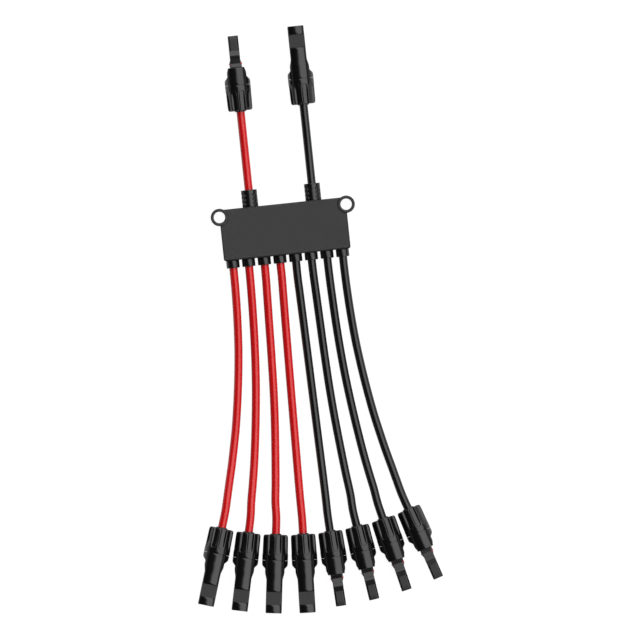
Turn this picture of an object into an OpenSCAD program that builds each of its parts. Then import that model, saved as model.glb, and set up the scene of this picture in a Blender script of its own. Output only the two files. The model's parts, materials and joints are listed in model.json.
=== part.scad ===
// Junction lead for solar panels: four positive and four negative branch leads
// are joined in a flat box to one positive and one negative trunk lead, and
// each lead ends in a latching coupler. The origin is the centre of the box's
// back face, +Z points out of the cover and +Y points to the trunk leads.

/* [Junction box] */
// Width of the box across the branch leads
box_w = 91; // [90.5:0.5:115]
// Depth of the box along the leads
box_d = 36.8; // [34:0.2:46]
// Height of the closed box
box_h = 14; // [13:0.2:20]
// Thickness of the side walls and of the floor
box_wall = 1.6; // [1.2:0.1:2]
// Thickness of the cover plate
cover_t = 2.4; // [1.8:0.1:3]
// Radius of the box's upright corners
corner_r = 1.6; // [1:0.1:3]
// Bevel round the outer edge of the cover
cover_bevel = 0.9; // [0.4:0.1:1.4]
// Diameter of the fixing hole in each ear
ear_hole_d = 8.1; // [6:0.1:9.9]
// Wall of each ear round its hole
ear_wall = 2.2; // [1.8:0.1:3]
// Distance from the trunk side of the box to the ear holes
ear_inset = 5.2; // [4:0.1:7]
// Depth of the mould marks in the cover
mark_depth = 0.3; // [0.1:0.1:0.6]

/* [Leads] */
// Outer diameter of every cable
cable_d = 5.9; // [5:0.1:7.1]
// Diameter of the copper core
core_d = 2.6; // [2:0.1:3.2]
// Distance between neighbouring branch leads at the box
branch_pitch = 11.24; // [11:0.02:11.4]
// Distance between the two trunk leads
trunk_spacing = 45.2; // [40:0.2:50]
// Wall of a branch grommet round its cable
grommet_wall = 1.75; // [1.2:0.05:2]
// Length of a branch grommet outside the box
grommet_len = 5.4; // [4:0.2:8]
// Wall of a trunk boot round its cable
boot_wall = 2.75; // [2:0.05:3]
// Length of a trunk boot outside the box
boot_len = 12.2; // [9:0.2:16]

/* [Busbars] */
// Depth of a busbar along the leads
bar_d = 10; // [8:0.5:12]
// Height of a busbar
bar_h = 5; // [4.2:0.1:6]
// Depth of the hole that takes each bared core
core_hole_depth = 4; // [3:0.1:4.6]

/* [Gland nut] */
// Diameter over the ribs of the nut
nut_d = 18.4; // [17.8:0.1:18.4]
// Length of the nut
nut_len = 18.4; // [17:0.1:19]
// Number of flutes round the nut
flute_count = 10; // [8:1:12]
// Length of the flutes from the rear of the nut
flute_len = 14.4; // [10:0.2:15]
// Depth of the flutes
flute_depth = 0.8; // [0.4:0.1:1]
// Diameter of the screw thread, drawn as a plain cylinder
thread_d = 14; // [13.6:0.1:14.4]
// Advance of the nut for one turn
thread_pitch = 2; // [1:0.25:3]

/* [Coupler body] */
// Width of the body in front of the nut's shoulder, across its flat sides
body_w = 13.9; // [13:0.1:15]
// Height of the body over its round top and bottom
body_h = 18.2; // [17.8:0.1:18.4]
// Diameter of the contact pin
pin_d = 4; // [3.6:0.1:4]
// Outer diameter of the socket contact
socket_d = 5; // [4.8:0.1:5.2]
// Distance from the nut's rear to the face where two couplers meet
mate_face = 31; // [30:0.2:33]

/* [Sleeve] */
// Width of the sleeve of a pin coupler
sleeve_w = 11.6; // [11.4:0.1:13]
// Height of the sleeve over its two latch bridges
sleeve_h = 17.8; // [17.6:0.1:18.2]
// Length from the rear of the nut to the mouth of the sleeve
pin_coupler_len = 56.2; // [55:0.2:60]
// Length of a latch window
window_len = 9; // [8:0.1:10]
// Distance from the mouth of the sleeve to a latch window
bridge_len = 6.2; // [5.6:0.1:6.6]

/* [Nose] */
// Width and height of the square nose of a socket coupler
nose_w = 7.4; // [7.2:0.1:7.6]
// Length of the nose in front of the body
nose_len = 22.8; // [20:0.2:22.8]
// Thickness of the sealing ring's section
ring_t = 1.4; // [1.2:0.1:1.5]
// Diameter over the sealing ring
ring_d = 9.6; // [9.4:0.1:9.8]
// Width of a latch arm
latch_w = 7.2; // [6:0.1:7.3]
// Length of a latch arm in front of the body
latch_len = 12.1; // [11:0.1:12.5]

/* [Fits] */
// Radial clearance of a running fit
run_gap = 0.08; // [0.04:0.01:0.1]
// Clearance round parts that are seated in one another
seat_gap = 0.05; // [0.03:0.01:0.1]
// Gap between parts that move past each other
free_gap = 0.3; // [0.2:0.05:0.4]
// Clearance of a nose inside a sleeve
nose_gap = 0.15; // [0.1:0.05:0.2]

/* [Hidden] */
$fn = 64;
hull_fn = 32;
eps = 0.01;

red = [0.72, 0.05, 0.06];
black = [0.06, 0.06, 0.065];
rubber = [0.09, 0.09, 0.09];
ring_red = [0.75, 0.08, 0.12];
copper = [0.78, 0.45, 0.28];
tinned = [0.78, 0.78, 0.76];

cable_r = cable_d / 2;
exit_z = 7;
coupler_z = nut_d / 2;
base_h = box_h - cover_t;
ear_r = ear_hole_d / 2 + ear_wall;
ear_x = box_w / 2;
ear_y = box_d / 2 - ear_inset;
grommet_r = cable_r + grommet_wall;
boot_r = cable_r + boot_wall;
bush_neck_r = cable_r + 0.8;
collar_r = min(bush_neck_r + 0.6, box_w / 2 - box_wall - 3.5 * branch_pitch - 0.15);
branch_x = [for (i = [0 : 7]) (i - 3.5) * branch_pitch];
trunk_x = [-trunk_spacing / 2, trunk_spacing / 2];

// The cover's locating lip and the mould marks on its face.
collar_t = 1.2;
lip_h = 1.2;
lip_t = 1.2;
lip_w = box_w - 2 * (box_wall + 0.15);
lip_d = box_d - 2 * (box_wall + collar_t + free_gap);
mark_r = 1;
marks = [[-36.7, 1.1], [36.7, 1.1], [-36.7, -13.3], [0.4, -13.3], [36.7, -13.3]];

// Busbars stand on ribs, with their core holes on the axis of the leads.
bar_w = 3 * branch_pitch + 7;
bar_mid_x = 2 * branch_pitch;
bar_z = exit_z - bar_h / 2;
rib_w = 2;
insulation_end = bar_d / 2 + 6;

// Branch couplers lie on a fan. Its centre is near the box.
fan_r = 220;
fan_centre_y = 1.8;
nut_space = 1.023;
fan_step = 2 * asin((nut_d + nut_space) / 2 / fan_r);
fan_angles = [for (i = [0 : 7]) (i - 3.5) * fan_step];
trunk_rear_y = 87.4;

// Stations along a coupler's axis, from the rear face of its nut.
nut_hole_r = cable_r + 0.6;
nut_wall = 2;
nut_boss_r = nut_hole_r + 0.5;
nut_boss_len = 0.7;
cone_end = 6;
collet_len = 6.7;
collet_start = nut_wall + free_gap;
collet_end = collet_start + collet_len;
collet_bore_r = cable_r + free_gap;
collet_rear_r = collet_bore_r + 0.9;
collet_r = thread_d / 2 - 1.9;
cone_gap = 0.15;
collet_slots = 6;
stub_start = 7.2;
seal_start = collet_end + free_gap;
seal_len = 7;
seal_r = collet_r + run_gap - seat_gap;
chamber_r = collet_r + run_gap;
chamber_end = seal_start + seal_len + 0.2;
collar_start = nut_len + free_gap;
collar_end = 20.3;
cone_front = 24.3;
taper_start = 27.5;
insulation_stop = 18;
barrel_r = core_d / 2 + 0.9;
barrel_len = 9;
flange_start = insulation_stop + barrel_len;
flange_r = cable_r + 0.05;
flange_len = 1.5;
contact_bore_r = flange_r + 0.1;
stem_r = socket_d / 2;
stem_bore_r = stem_r + seat_gap;
pin_tip = pin_coupler_len - 5.8;
socket_front = mate_face + nose_len - 1;

// Section of the nose and of the cavity that takes it.
nose_r = nose_w / 2;
nose_round = 1.5;
cavity_r = nose_r + nose_gap;
cavity_start = pin_coupler_len - nose_len - 0.2;
seal_bore_r = ring_d / 2 - 0.15;
seal_bore_len = 5.6;
spool_r = ring_d / 2 - 0.35;
spool_len = 3.6;
spool_taper = 1.8;
ring_mid = 2.6;
entry_r = pin_d / 2 + 0.2;

// Heights in the latch, measured from the coupler's axis.
tube_top = seal_bore_r + 0.55;
sleeve_start = 32;
front_w = 12;
arm_root = tube_top + 0.1;
arm_under = tube_top + 0.8;
arm_waist = tube_top + 0.95;
arm_foot = tube_top + 1.35;
arm_catch = tube_top + 1.7;
arm_peak = tube_top + 2;
arm_tip = tube_top + 1.3;
bridge_under = arm_foot + 0.2;
arm_back = tube_top + 1.55;
catch_at = bridge_len + 0.2;
peak_at = catch_at + 2.2;
waist_at = 2.8;
hinge_at = 1.1;
hinge_r = 0.75;
hinge_z = arm_root + 0.35;
hinge_w = 6.2;
neck_t = 0.6;
neck_step = 0.12;
neck_slot = 0.9;

// Routes of the four leads right of the middle, as hand-laid points. They
// leave the box level, come down to the bench and rise into the couplers.
inner_route = [
    [5.6, -34, 6.8], [5.9, -46, 5.9], [6.2, -58, 4.7], [6.5, -70, 3.6],
    [6.8, -83, 3.1], [7.1, -96, 3], [7.4, -110, 3], [7.7, -124, 3],
    [8, -138, 3.1], [8.3, -152, 3.7], [8.6, -166, 5], [8.9, -180, 6.9], [9.1, -193, 8.5]];
second_route = [
    [17, -34, 6.8], [17.4, -46, 5.9], [17.8, -58, 4.7], [18.2, -70, 3.6],
    [18.6, -83, 3.1], [19.1, -96, 3], [19.7, -110, 3], [20.5, -124, 3],
    [21.5, -138, 3.1], [22.7, -152, 3.7], [24, -166, 5], [25.4, -180, 6.9], [26.9, -193, 8.5]];
third_route = [
    [28.2, -34, 6.8], [28.5, -46, 5.9], [28.9, -58, 4.7], [29.4, -70, 3.6],
    [30.1, -83, 3.1], [31, -96, 3], [32.2, -110, 3], [33.7, -124, 3],
    [35.4, -138, 3.1], [37.3, -152, 3.7], [39.4, -166, 5], [41.7, -179, 6.9], [44, -191, 8.5]];
outer_route = [
    [39.4, -34, 6.8], [39.7, -46, 5.9], [40.2, -58, 4.7], [40.9, -70, 3.6],
    [41.9, -83, 3.1], [43.3, -96, 3], [45.1, -110, 3], [47.2, -124, 3],
    [49.6, -138, 3.1], [52.3, -151, 3.7], [55.2, -164, 5], [58.2, -176, 6.9], [60.9, -187, 8.5]];
trunk_route = [[22.6, 42, 6.7], [22.6, 54, 6.8], [22.6, 65, 8]];
branch_routes = [inner_route, second_route, third_route, outer_route];
lead_straight = 12;
tube_sides = 10;

// ---- Places -------------------------------------------------------------

// A coupler's place: where its nut's rear is, and its turn about Z. A turn of
// zero points it along -Y.
function fan_place(i) = [
    [fan_r * sin(fan_angles[i]), fan_centre_y - fan_r * cos(fan_angles[i]), coupler_z],
    fan_angles[i]];
function trunk_place(i) = [[trunk_x[i], trunk_rear_y, coupler_z], 180];

// Pin couplers end the red branches and the black trunk; socket couplers end
// the black branches and the red trunk.
pin_places = [fan_place(0), fan_place(1), fan_place(2), fan_place(3), trunk_place(1)];
socket_places = [fan_place(4), fan_place(5), fan_place(6), fan_place(7), trunk_place(0)];

// The point at station s on the axis of a coupler at a place.
function on_axis(place, s) = place[0] + s * [sin(place[1]), -cos(place[1]), 0];

// Puts a coupler drawn along +Z, with its latches towards +Y and -Y, in place.
module at_place(place) {
    translate(place[0])
        rotate([0, 0, place[1]])
            rotate([90, 0, 0])
                children();
}

// Puts a round part drawn along +Z on the axis of a lead where it crosses Y.
module along_lead(x, y, away) {
    translate([x, y, exit_z])
        rotate([away > 0 ? -90 : 90, 0, 0])
            children();
}

// ---- Leads --------------------------------------------------------------

// A branch lead from the busbar's side to the stop in its coupler. Side is -1
// or 1, and row counts outwards from the middle.
function branch_points(side, row) =
    let (x = (row + 0.5) * branch_pitch,
         place = fan_place(side > 0 ? 4 + row : 3 - row),
         lead_in = [[x, -insulation_end, exit_z], [x, -17.5, exit_z], [x, -24, exit_z]])
    concat(
        [for (p = concat(lead_in, branch_routes[row])) [side * p[0], p[1], p[2]]],
        [for (s = [-lead_straight, 3, insulation_stop]) on_axis(place, s)]);

function trunk_points(side) =
    let (x = trunk_spacing / 2,
         place = trunk_place(side > 0 ? 1 : 0),
         lead_in = [[x, insulation_end, exit_z], [x, 20, exit_z], [x, 31, exit_z]])
    concat(
        [for (p = concat(lead_in, trunk_route)) [side * p[0], p[1], p[2]]],
        [for (s = [-lead_straight, 3, insulation_stop]) on_axis(place, s)]);

// Every second point of a route carries a ring of the tube.
function every_second(points) = [for (i = [0 : 2 : len(points) - 1]) points[i]];

function unit(v) = v / norm(v);
function along(points, i) =
    unit(points[min(i + 1, len(points) - 1)] - points[max(i - 1, 0)]);
function ring(points, i, r) =
    let (t = along(points, i),
         n = unit(cross(t, [0, 0, 1])),
         b = cross(n, t))
    [for (k = [0 : tube_sides - 1])
        points[i] + r * (cos(k * 360 / tube_sides) * n + sin(k * 360 / tube_sides) * b)];

module tube(points, r) {
    last = len(points) - 1;
    sides = tube_sides;
    polyhedron(
        points = [for (i = [0 : last]) each ring(points, i, r)],
        faces = concat(
            [[for (k = [0 : sides - 1]) k]],
            [for (i = [0 : last - 1], k = [0 : sides - 1])
                let (m = (k + 1) % sides)
                [i * sides + k, (i + 1) * sides + k, (i + 1) * sides + m, i * sides + m]],
            [[for (k = [sides - 1 : -1 : 0]) last * sides + k]]));
}

module branch_cable(side, row) {
    color(side < 0 ? red : black)
        tube(every_second(branch_points(side, row)), cable_r);
}

module trunk_cable(side) {
    color(side < 0 ? red : black)
        tube(every_second(trunk_points(side)), cable_r);
}

// ---- Junction box -------------------------------------------------------

// The outline of the box, moved in by a distance all round.
module box_outline(inset) {
    w = box_w - 2 * inset;
    d = box_d - 2 * inset;
    r = max(corner_r - inset, 0.4);
    square([w - 2 * r, d], center = true);
    square([w, d - 2 * r], center = true);
    for (x = [-1, 1], y = [-1, 1])
        translate([x * (w / 2 - r), y * (d / 2 - r)])
            circle(r);
}

module at_ears() {
    for (x = [-ear_x, ear_x])
        translate([x, ear_y, 0])
            children();
}

module case_base() {
    color(black)
    difference() {
        union() {
            linear_extrude(base_h)
                box_outline(0);
            at_ears()
                cylinder(h = box_h, r = ear_r);
        }
        difference() {
            translate([0, 0, box_wall])
                linear_extrude(box_h)
                    box_outline(box_wall);
            at_ears()
                cylinder(h = box_h, r = ear_r + 1);
            for (x = [-bar_mid_x, bar_mid_x], rib = [-1, 1])
                translate([x + rib * bar_w / 3 - rib_w / 2, -bar_d / 2, 0])
                    cube([rib_w, bar_d, bar_z]);
        }
        at_ears()
            translate([0, 0, -eps])
                cylinder(h = box_h + 1, d = ear_hole_d);
        for (x = branch_x)
            along_lead(x, -box_d / 2 + box_wall + 1, -1)
                cylinder(h = box_wall + 2, r = bush_neck_r + seat_gap);
        for (x = trunk_x)
            along_lead(x, box_d / 2 - box_wall - 1, 1)
                cylinder(h = box_wall + 2, r = bush_neck_r + seat_gap);
    }
}

// The cover: a plate with a bevelled edge and a lip that drops inside the base,
// clear of the collars of the bushes.
module case_cover() {
    w = box_w / 2;
    d = box_d / 2;
    side = 2 * cover_bevel;
    color(black)
    difference() {
        union() {
            translate([0, 0, base_h])
                linear_extrude(cover_t)
                    box_outline(0);
            translate([0, 0, base_h - lip_h])
                linear_extrude(lip_h + eps)
                    difference() {
                        square([lip_w, lip_d], center = true);
                        square([lip_w - 2 * lip_t, lip_d - 2 * lip_t], center = true);
                    }
        }
        for (x = [-w, w])
            translate([x, 0, box_h])
                rotate([0, 45, 0])
                    cube([side / sqrt(2), box_d + 2, side / sqrt(2)], center = true);
        for (y = [-d, d])
            translate([0, y, box_h])
                rotate([45, 0, 0])
                    cube([box_w + 2, side / sqrt(2), side / sqrt(2)], center = true);
        at_ears()
            translate([0, 0, base_h - lip_h - 1]) {
                cylinder(h = lip_h + 1, r = ear_r + 1 + 0.15);
                cylinder(h = box_h, r = ear_r + 0.15);
            }
        for (x = branch_x)
            along_lead(x, -box_d / 2 + box_wall + collar_t + free_gap, -1)
                cylinder(h = box_wall + collar_t, r = collar_r + 0.15);
        for (x = trunk_x)
            along_lead(x, box_d / 2 - box_wall - collar_t - free_gap, 1)
                cylinder(h = box_wall + collar_t, r = collar_r + 0.15);
        for (m = marks)
            translate([m[0], m[1], box_h - mark_depth])
                cylinder(h = 1, r = mark_r, $fn = 24);
    }
}

// Two copper bars, each with four branch holes and one trunk hole.
module busbars() {
    color(copper)
    for (side = [-1, 1])
        difference() {
            translate([side * bar_mid_x - bar_w / 2, -bar_d / 2, bar_z])
                cube([bar_w, bar_d, bar_h]);
            for (row = [0 : 3])
                along_lead(side * (row + 0.5) * branch_pitch, -bar_d / 2 + core_hole_depth, -1)
                    cylinder(h = core_hole_depth + 1, d = core_d + 2 * seat_gap, $fn = 32);
            along_lead(side * trunk_spacing / 2, bar_d / 2 - core_hole_depth, 1)
                cylinder(h = core_hole_depth + 1, d = core_d + 2 * seat_gap, $fn = 32);
        }
}

// The stripped ends of the leads, from their insulation into the busbars.
module bared_cores() {
    bared = insulation_end - bar_d / 2 + core_hole_depth - 0.1;
    color(copper) {
        for (x = branch_x)
            along_lead(x, -insulation_end + bared, -1)
                cylinder(h = bared, d = core_d, $fn = 32);
        for (x = trunk_x)
            along_lead(x, insulation_end - bared, 1)
                cylinder(h = bared, d = core_d, $fn = 32);
    }
}

// A rubber bush that grips the wall of the box between two collars.
module bush(outer_r, len) {
    rotate_extrude()
        polygon([
            [cable_r + seat_gap, -box_wall - collar_t], [collar_r, -box_wall - collar_t],
            [collar_r, -box_wall], [bush_neck_r, -box_wall], [bush_neck_r, 0], [outer_r, 0],
            [outer_r, len - 0.4], [outer_r - 0.4, len], [cable_r + seat_gap, len]]);
}

module branch_grommets() {
    color(rubber)
    for (x = branch_x)
        along_lead(x, -box_d / 2, -1)
            bush(grommet_r, grommet_len);
}

module trunk_boots() {
    color(rubber)
    for (x = trunk_x)
        along_lead(x, box_d / 2, 1)
            bush(boot_r, boot_len);
}

// ---- Gland --------------------------------------------------------------

// The outside of the nut tapers a little towards its rounded rear.
module gland_nut() {
    r = nut_d / 2;
    cone_r0 = collet_rear_r + cone_gap;
    cone_r1 = collet_r + cone_gap;
    color(black)
    difference() {
        rotate_extrude()
            polygon([
                [nut_hole_r, -nut_boss_len], [nut_boss_r - 0.3, -nut_boss_len],
                [nut_boss_r, -nut_boss_len + 0.3], [nut_boss_r, 0], [r - 1.6, 0],
                [r - 0.75, 0.35], [r - 0.35, 1.2], [r - 0.2, 3], [r, flute_len + 0.8],
                [r, nut_len], [thread_d / 2 + run_gap, nut_len],
                [thread_d / 2 + run_gap, cone_end], [cone_r1, cone_end],
                [cone_r0, nut_wall], [nut_hole_r, nut_wall]]);
        for (k = [0 : flute_count - 1])
            rotate([0, 0, (k + 0.5) * 360 / flute_count])
                translate([0, 0, -nut_boss_len])
                    linear_extrude(flute_len + nut_boss_len)
                        polygon([
                            [r - flute_depth, -0.95], [r + 0.5, -2.3],
                            [r + 0.5, 2.3], [r - flute_depth, 0.95]]);
    }
}

// A slotted clamping ring that the nut's cone squeezes onto the cable.
module clamp_collet() {
    slope = (collet_r - collet_rear_r) / (cone_end - nut_wall);
    color(black)
    difference() {
        rotate_extrude()
            polygon([
                [collet_bore_r, collet_start], [collet_rear_r + slope * free_gap, collet_start],
                [collet_r, cone_end], [collet_r, collet_end], [collet_bore_r, collet_end]]);
        for (k = [0 : collet_slots - 1])
            rotate([0, 0, k * 360 / collet_slots])
                translate([0, -0.4, collet_start - 1])
                    cube([collet_r + 1, 0.8, collet_len - 1]);
    }
}

module cable_seal() {
    rotate_extrude()
        polygon([
            [cable_r + seat_gap, seal_start], [seal_r, seal_start],
            [seal_r, seal_start + seal_len], [cable_r + seat_gap, seal_start + seal_len]]);
}

// ---- Contacts -----------------------------------------------------------

// The crimped barrel, flange and stem that both kinds of contact share.
module contact_rear(stem_end) {
    translate([0, 0, insulation_stop + seat_gap])
        cylinder(h = barrel_len, r = barrel_r, $fn = 48);
    translate([0, 0, flange_start])
        cylinder(h = flange_len, r = flange_r, $fn = 48);
    translate([0, 0, flange_start])
        cylinder(h = stem_end - flange_start, r = stem_r, $fn = 48);
}

module pin_contact() {
    color(tinned) {
        contact_rear(cavity_start);
        translate([0, 0, cavity_start - eps])
            cylinder(h = pin_tip - 1.2 - cavity_start + 2 * eps, d = pin_d, $fn = 64);
        translate([0, 0, pin_tip - 1.2])
            cylinder(h = 1.2, r1 = pin_d / 2, r2 = pin_d / 2 - 0.7, $fn = 64);
    }
}

module socket_contact() {
    bore_len = pin_tip - cavity_start + 0.6;
    color(tinned)
    difference() {
        contact_rear(socket_front);
        translate([0, 0, socket_front - bore_len])
            cylinder(h = bore_len + 1, d = pin_d + 0.06, $fn = 64);
        for (turn = [0, 90])
            rotate([0, 0, turn + 45])
                translate([-stem_r - 1, -0.25, socket_front - 8])
                    cube([2 * stem_r + 2, 0.5, 9]);
    }
}

// ---- Coupler housings ---------------------------------------------------

module round_square(half, r) {
    square([2 * half, 2 * (half - r)], center = true);
    square([2 * (half - r), 2 * half], center = true);
    for (x = [-1, 1], y = [-1, 1])
        translate([x * (half - r), y * (half - r)])
            circle(r, $fn = 32);
}

// A round section with two flat sides.
module flat_sided(width, height, facets = 64) {
    intersection() {
        circle(d = height, $fn = facets);
        square([width, height], center = true);
    }
}

// The threaded stub, shoulder and flat-sided body that both housings share.
module housing_rear() {
    rotate_extrude()
        polygon([
            [0, stub_start], [thread_d / 2 - 0.5, stub_start],
            [thread_d / 2, stub_start + 0.5], [thread_d / 2, collar_start],
            [nut_d / 2, collar_start], [nut_d / 2, collar_end], [0, collar_end]]);
    neck(collar_end, nut_d, nut_d, cone_front, body_w, body_h);
    translate([0, 0, cone_front - eps])
        linear_extrude(taper_start - cone_front + eps)
            flat_sided(body_w, body_h);
}

module housing_bores(stem_end) {
    translate([0, 0, stub_start - 1])
        cylinder(h = chamber_end - stub_start + 1, r = chamber_r);
    translate([0, 0, chamber_end - 1])
        cylinder(h = flange_start + flange_len - chamber_end + 1, r = contact_bore_r);
    translate([0, 0, flange_start])
        cylinder(h = stem_end - flange_start, r = stem_bore_r);
}

// A neck between two flat-sided sections, set in a little where it meets them.
module neck(rear_z, rear_w, rear_h, front_z, width, height) {
    step = 2 * neck_step;
    hull() {
        translate([0, 0, rear_z - eps])
            linear_extrude(eps)
                flat_sided(rear_w - step, rear_h - step, hull_fn);
        translate([0, 0, front_z - eps])
            linear_extrude(eps)
                flat_sided(width - step, height - step, hull_fn);
    }
}

// A latch's way into the sleeve: under the bridge, and the window behind it.
module latch_way() {
    window_start = pin_coupler_len - bridge_len - window_len;
    translate([-latch_w / 2 - 0.1, tube_top, pin_coupler_len - bridge_len - 1])
        cube([latch_w + 0.2, bridge_under - tube_top, bridge_len + 2]);
    translate([-sleeve_w, tube_top, window_start])
        cube([2 * sleeve_w, sleeve_h, window_len]);
}

module pin_housing() {
    color(black)
    difference() {
        union() {
            housing_rear();
            neck(taper_start, body_w, body_h, sleeve_start, sleeve_w, sleeve_h);
            translate([0, 0, sleeve_start - eps])
                linear_extrude(pin_coupler_len - sleeve_start + eps)
                    flat_sided(sleeve_w, sleeve_h);
        }
        housing_bores(cavity_start + 1);
        translate([0, 0, cavity_start])
            linear_extrude(nose_len + 2)
                round_square(cavity_r, nose_round + nose_gap);
        translate([0, 0, pin_coupler_len - seal_bore_len])
            cylinder(h = seal_bore_len + 1, r = seal_bore_r);
        latch_way();
        rotate([0, 0, 180])
            latch_way();
    }
}

module socket_housing() {
    nose_end = mate_face + nose_len;
    color(black)
    difference() {
        union() {
            housing_rear();
            neck(taper_start, body_w, body_h, mate_face, front_w, body_h);
            translate([0, 0, mate_face - eps])
                linear_extrude(nose_len + eps)
                    round_square(nose_r, nose_round);
            rotate_extrude()
                polygon([
                    [0, mate_face - eps], [spool_r, mate_face - eps],
                    [spool_r, mate_face + ring_mid - ring_t / 2],
                    [ring_d / 2 - ring_t, mate_face + ring_mid - ring_t / 2],
                    [ring_d / 2 - ring_t, mate_face + ring_mid + ring_t / 2],
                    [spool_r, mate_face + ring_mid + ring_t / 2],
                    [spool_r, mate_face + spool_len],
                    [nose_r, mate_face + spool_len + spool_taper],
                    [0, mate_face + spool_len + spool_taper]]);
        }
        housing_bores(socket_front + seat_gap);
        translate([0, 0, socket_front - 1])
            cylinder(h = 3, r = entry_r);
        // The ring's groove also cuts the corners of the square nose.
        translate([0, 0, mate_face + ring_mid - ring_t / 2])
            rotate_extrude()
                translate([ring_d / 2 - ring_t, 0])
                    square([3, ring_t]);
        hinge_seat();
        rotate([0, 0, 180])
            hinge_seat();
    }
}

module nose_ring() {
    translate([0, 0, mate_face + ring_mid])
        rotate_extrude()
            translate([ring_d / 2 - ring_t / 2, 0])
                circle(d = ring_t - 2 * eps, $fn = 24);
}

// ---- Latches ------------------------------------------------------------

// The round seat and the slot that hold the root of a latch arm.
module hinge_seat() {
    w = hinge_w + 2 * run_gap;
    translate([-w / 2, hinge_z, mate_face - hinge_at])
        rotate([0, 90, 0])
            cylinder(h = w, r = hinge_r + run_gap, $fn = 48);
    translate([-w / 2, hinge_z - neck_slot / 2, mate_face - hinge_at])
        cube([w, neck_slot, hinge_at + 1]);
}

// The arm's side outline, as distance from the body's face and height.
module latch_outline() {
    polygon([
        [0.2, arm_root], [0.2, arm_back], [waist_at, arm_waist], [catch_at, arm_foot],
        [catch_at, arm_catch], [peak_at, arm_peak], [latch_len, arm_tip],
        [latch_len, arm_under]]);
}

module latch_arm() {
    color(black)
    translate([0, 0, mate_face])
        union() {
            translate([latch_w / 2, 0, 0])
                rotate([0, -90, 0])
                    linear_extrude(latch_w)
                        latch_outline();
            translate([-hinge_w / 2, hinge_z - neck_t / 2, -hinge_at])
                cube([hinge_w, neck_t, hinge_at + 1]);
            translate([-hinge_w / 2, hinge_z, -hinge_at])
                rotate([0, 90, 0])
                    cylinder(h = hinge_w, r = hinge_r, $fn = 48);
        }
}

// ---- The assembly -------------------------------------------------------

module pin_contacts() {
    for (place = pin_places)
        at_place(place)
            pin_contact();
}

module socket_contacts() {
    for (place = socket_places)
        at_place(place)
            socket_contact();
}

module cable_seals() {
    color(rubber)
    for (place = concat(pin_places, socket_places))
        at_place(place)
            cable_seal();
}

module nose_rings() {
    color(ring_red)
    for (place = socket_places)
        at_place(place)
            nose_ring();
}

case_base();
case_cover();
busbars();
bared_cores();
branch_grommets();
trunk_boots();
pin_contacts();
socket_contacts();
cable_seals();
nose_rings();
trunk_cable(-1);  // red_trunk_cable
trunk_cable(1);  // black_trunk_cable
for (i = [1 : 4]) {
    branch_cable(-1, 4 - i);
    branch_cable(1, i - 1);
}
for (i = [1 : 5]) {
    pin_place = pin_places[i - 1];
    socket_place = socket_places[i - 1];
    at_place(pin_place) pin_housing();
    at_place(pin_place) gland_nut();
    at_place(pin_place) clamp_collet();
    at_place(socket_place) socket_housing();
    at_place(socket_place) gland_nut();
    at_place(socket_place) clamp_collet();
    at_place(socket_place) latch_arm();
    at_place(socket_place)
            rotate([0, 0, 180])
                latch_arm();
}
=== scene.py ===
import json
import math
import bmesh
import bpy
import numpy as np
from mathutils import Matrix, Vector

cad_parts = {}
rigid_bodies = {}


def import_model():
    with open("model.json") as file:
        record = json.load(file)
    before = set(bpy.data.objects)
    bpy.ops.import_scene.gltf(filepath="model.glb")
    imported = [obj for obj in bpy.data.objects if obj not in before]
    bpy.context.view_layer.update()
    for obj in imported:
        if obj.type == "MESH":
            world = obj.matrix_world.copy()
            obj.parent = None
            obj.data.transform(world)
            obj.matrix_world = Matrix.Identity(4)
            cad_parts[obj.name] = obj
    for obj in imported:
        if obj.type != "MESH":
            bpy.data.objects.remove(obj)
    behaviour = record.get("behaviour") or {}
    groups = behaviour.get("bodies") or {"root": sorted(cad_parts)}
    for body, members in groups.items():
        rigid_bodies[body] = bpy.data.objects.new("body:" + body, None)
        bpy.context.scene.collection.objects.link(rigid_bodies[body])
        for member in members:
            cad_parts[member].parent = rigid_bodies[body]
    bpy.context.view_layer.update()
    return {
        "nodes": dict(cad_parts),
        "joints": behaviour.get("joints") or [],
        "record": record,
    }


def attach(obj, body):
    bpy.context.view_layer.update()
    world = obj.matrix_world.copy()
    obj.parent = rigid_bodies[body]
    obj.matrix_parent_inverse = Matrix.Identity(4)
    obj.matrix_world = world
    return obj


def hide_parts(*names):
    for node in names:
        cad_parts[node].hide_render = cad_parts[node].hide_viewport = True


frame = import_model()
joints = {joint["name"]: joint for joint in frame["joints"]}
mm = 0.001
print("frame loaded:", len(frame["nodes"]), "CAD nodes")


# ---- small tools ----

def addNode(tree, kind, wires=None, **settings):
    made = tree.nodes.new(kind)
    for key, value in settings.items():
        setattr(made, key, value)
    for key, value in (wires or {}).items():
        if isinstance(value, bpy.types.NodeSocket):
            tree.links.new(value, made.inputs[key])
        else:
            made.inputs[key].default_value = value
    return made


def calc(tree, operation, *values, clamp=False):
    kind = "ShaderNodeMath"
    made = addNode(tree, kind, dict(enumerate(values)), operation=operation, use_clamp=clamp)
    return made.outputs[0]


def ramp(tree, value, low, high, toLow=0.0, toHigh=1.0, smooth=True):
    made = addNode(tree, "ShaderNodeMapRange",
                   {"Value": value, "From Min": low, "From Max": high, "To Min": toLow, "To Max": toHigh},
                   interpolation_type="SMOOTHSTEP" if smooth else "LINEAR")
    return made.outputs["Result"]


def newGroup(name, kind, inputs, outputs):
    tree = bpy.data.node_groups.new(name, kind)
    for label, socket, value in inputs:
        made = tree.interface.new_socket(label, in_out="INPUT", socket_type=socket)
        if value is not None:
            made.default_value = value
    for label, socket in outputs:
        tree.interface.new_socket(label, in_out="OUTPUT", socket_type=socket)
    return tree, tree.nodes.new("NodeGroupInput"), tree.nodes.new("NodeGroupOutput")


def toMesh(name, points, faces):
    mesh = bpy.data.meshes.new(name)
    mesh.from_pydata([tuple(p) for p in points], [], [tuple(f) for f in faces])
    mesh.update()
    return mesh


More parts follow.
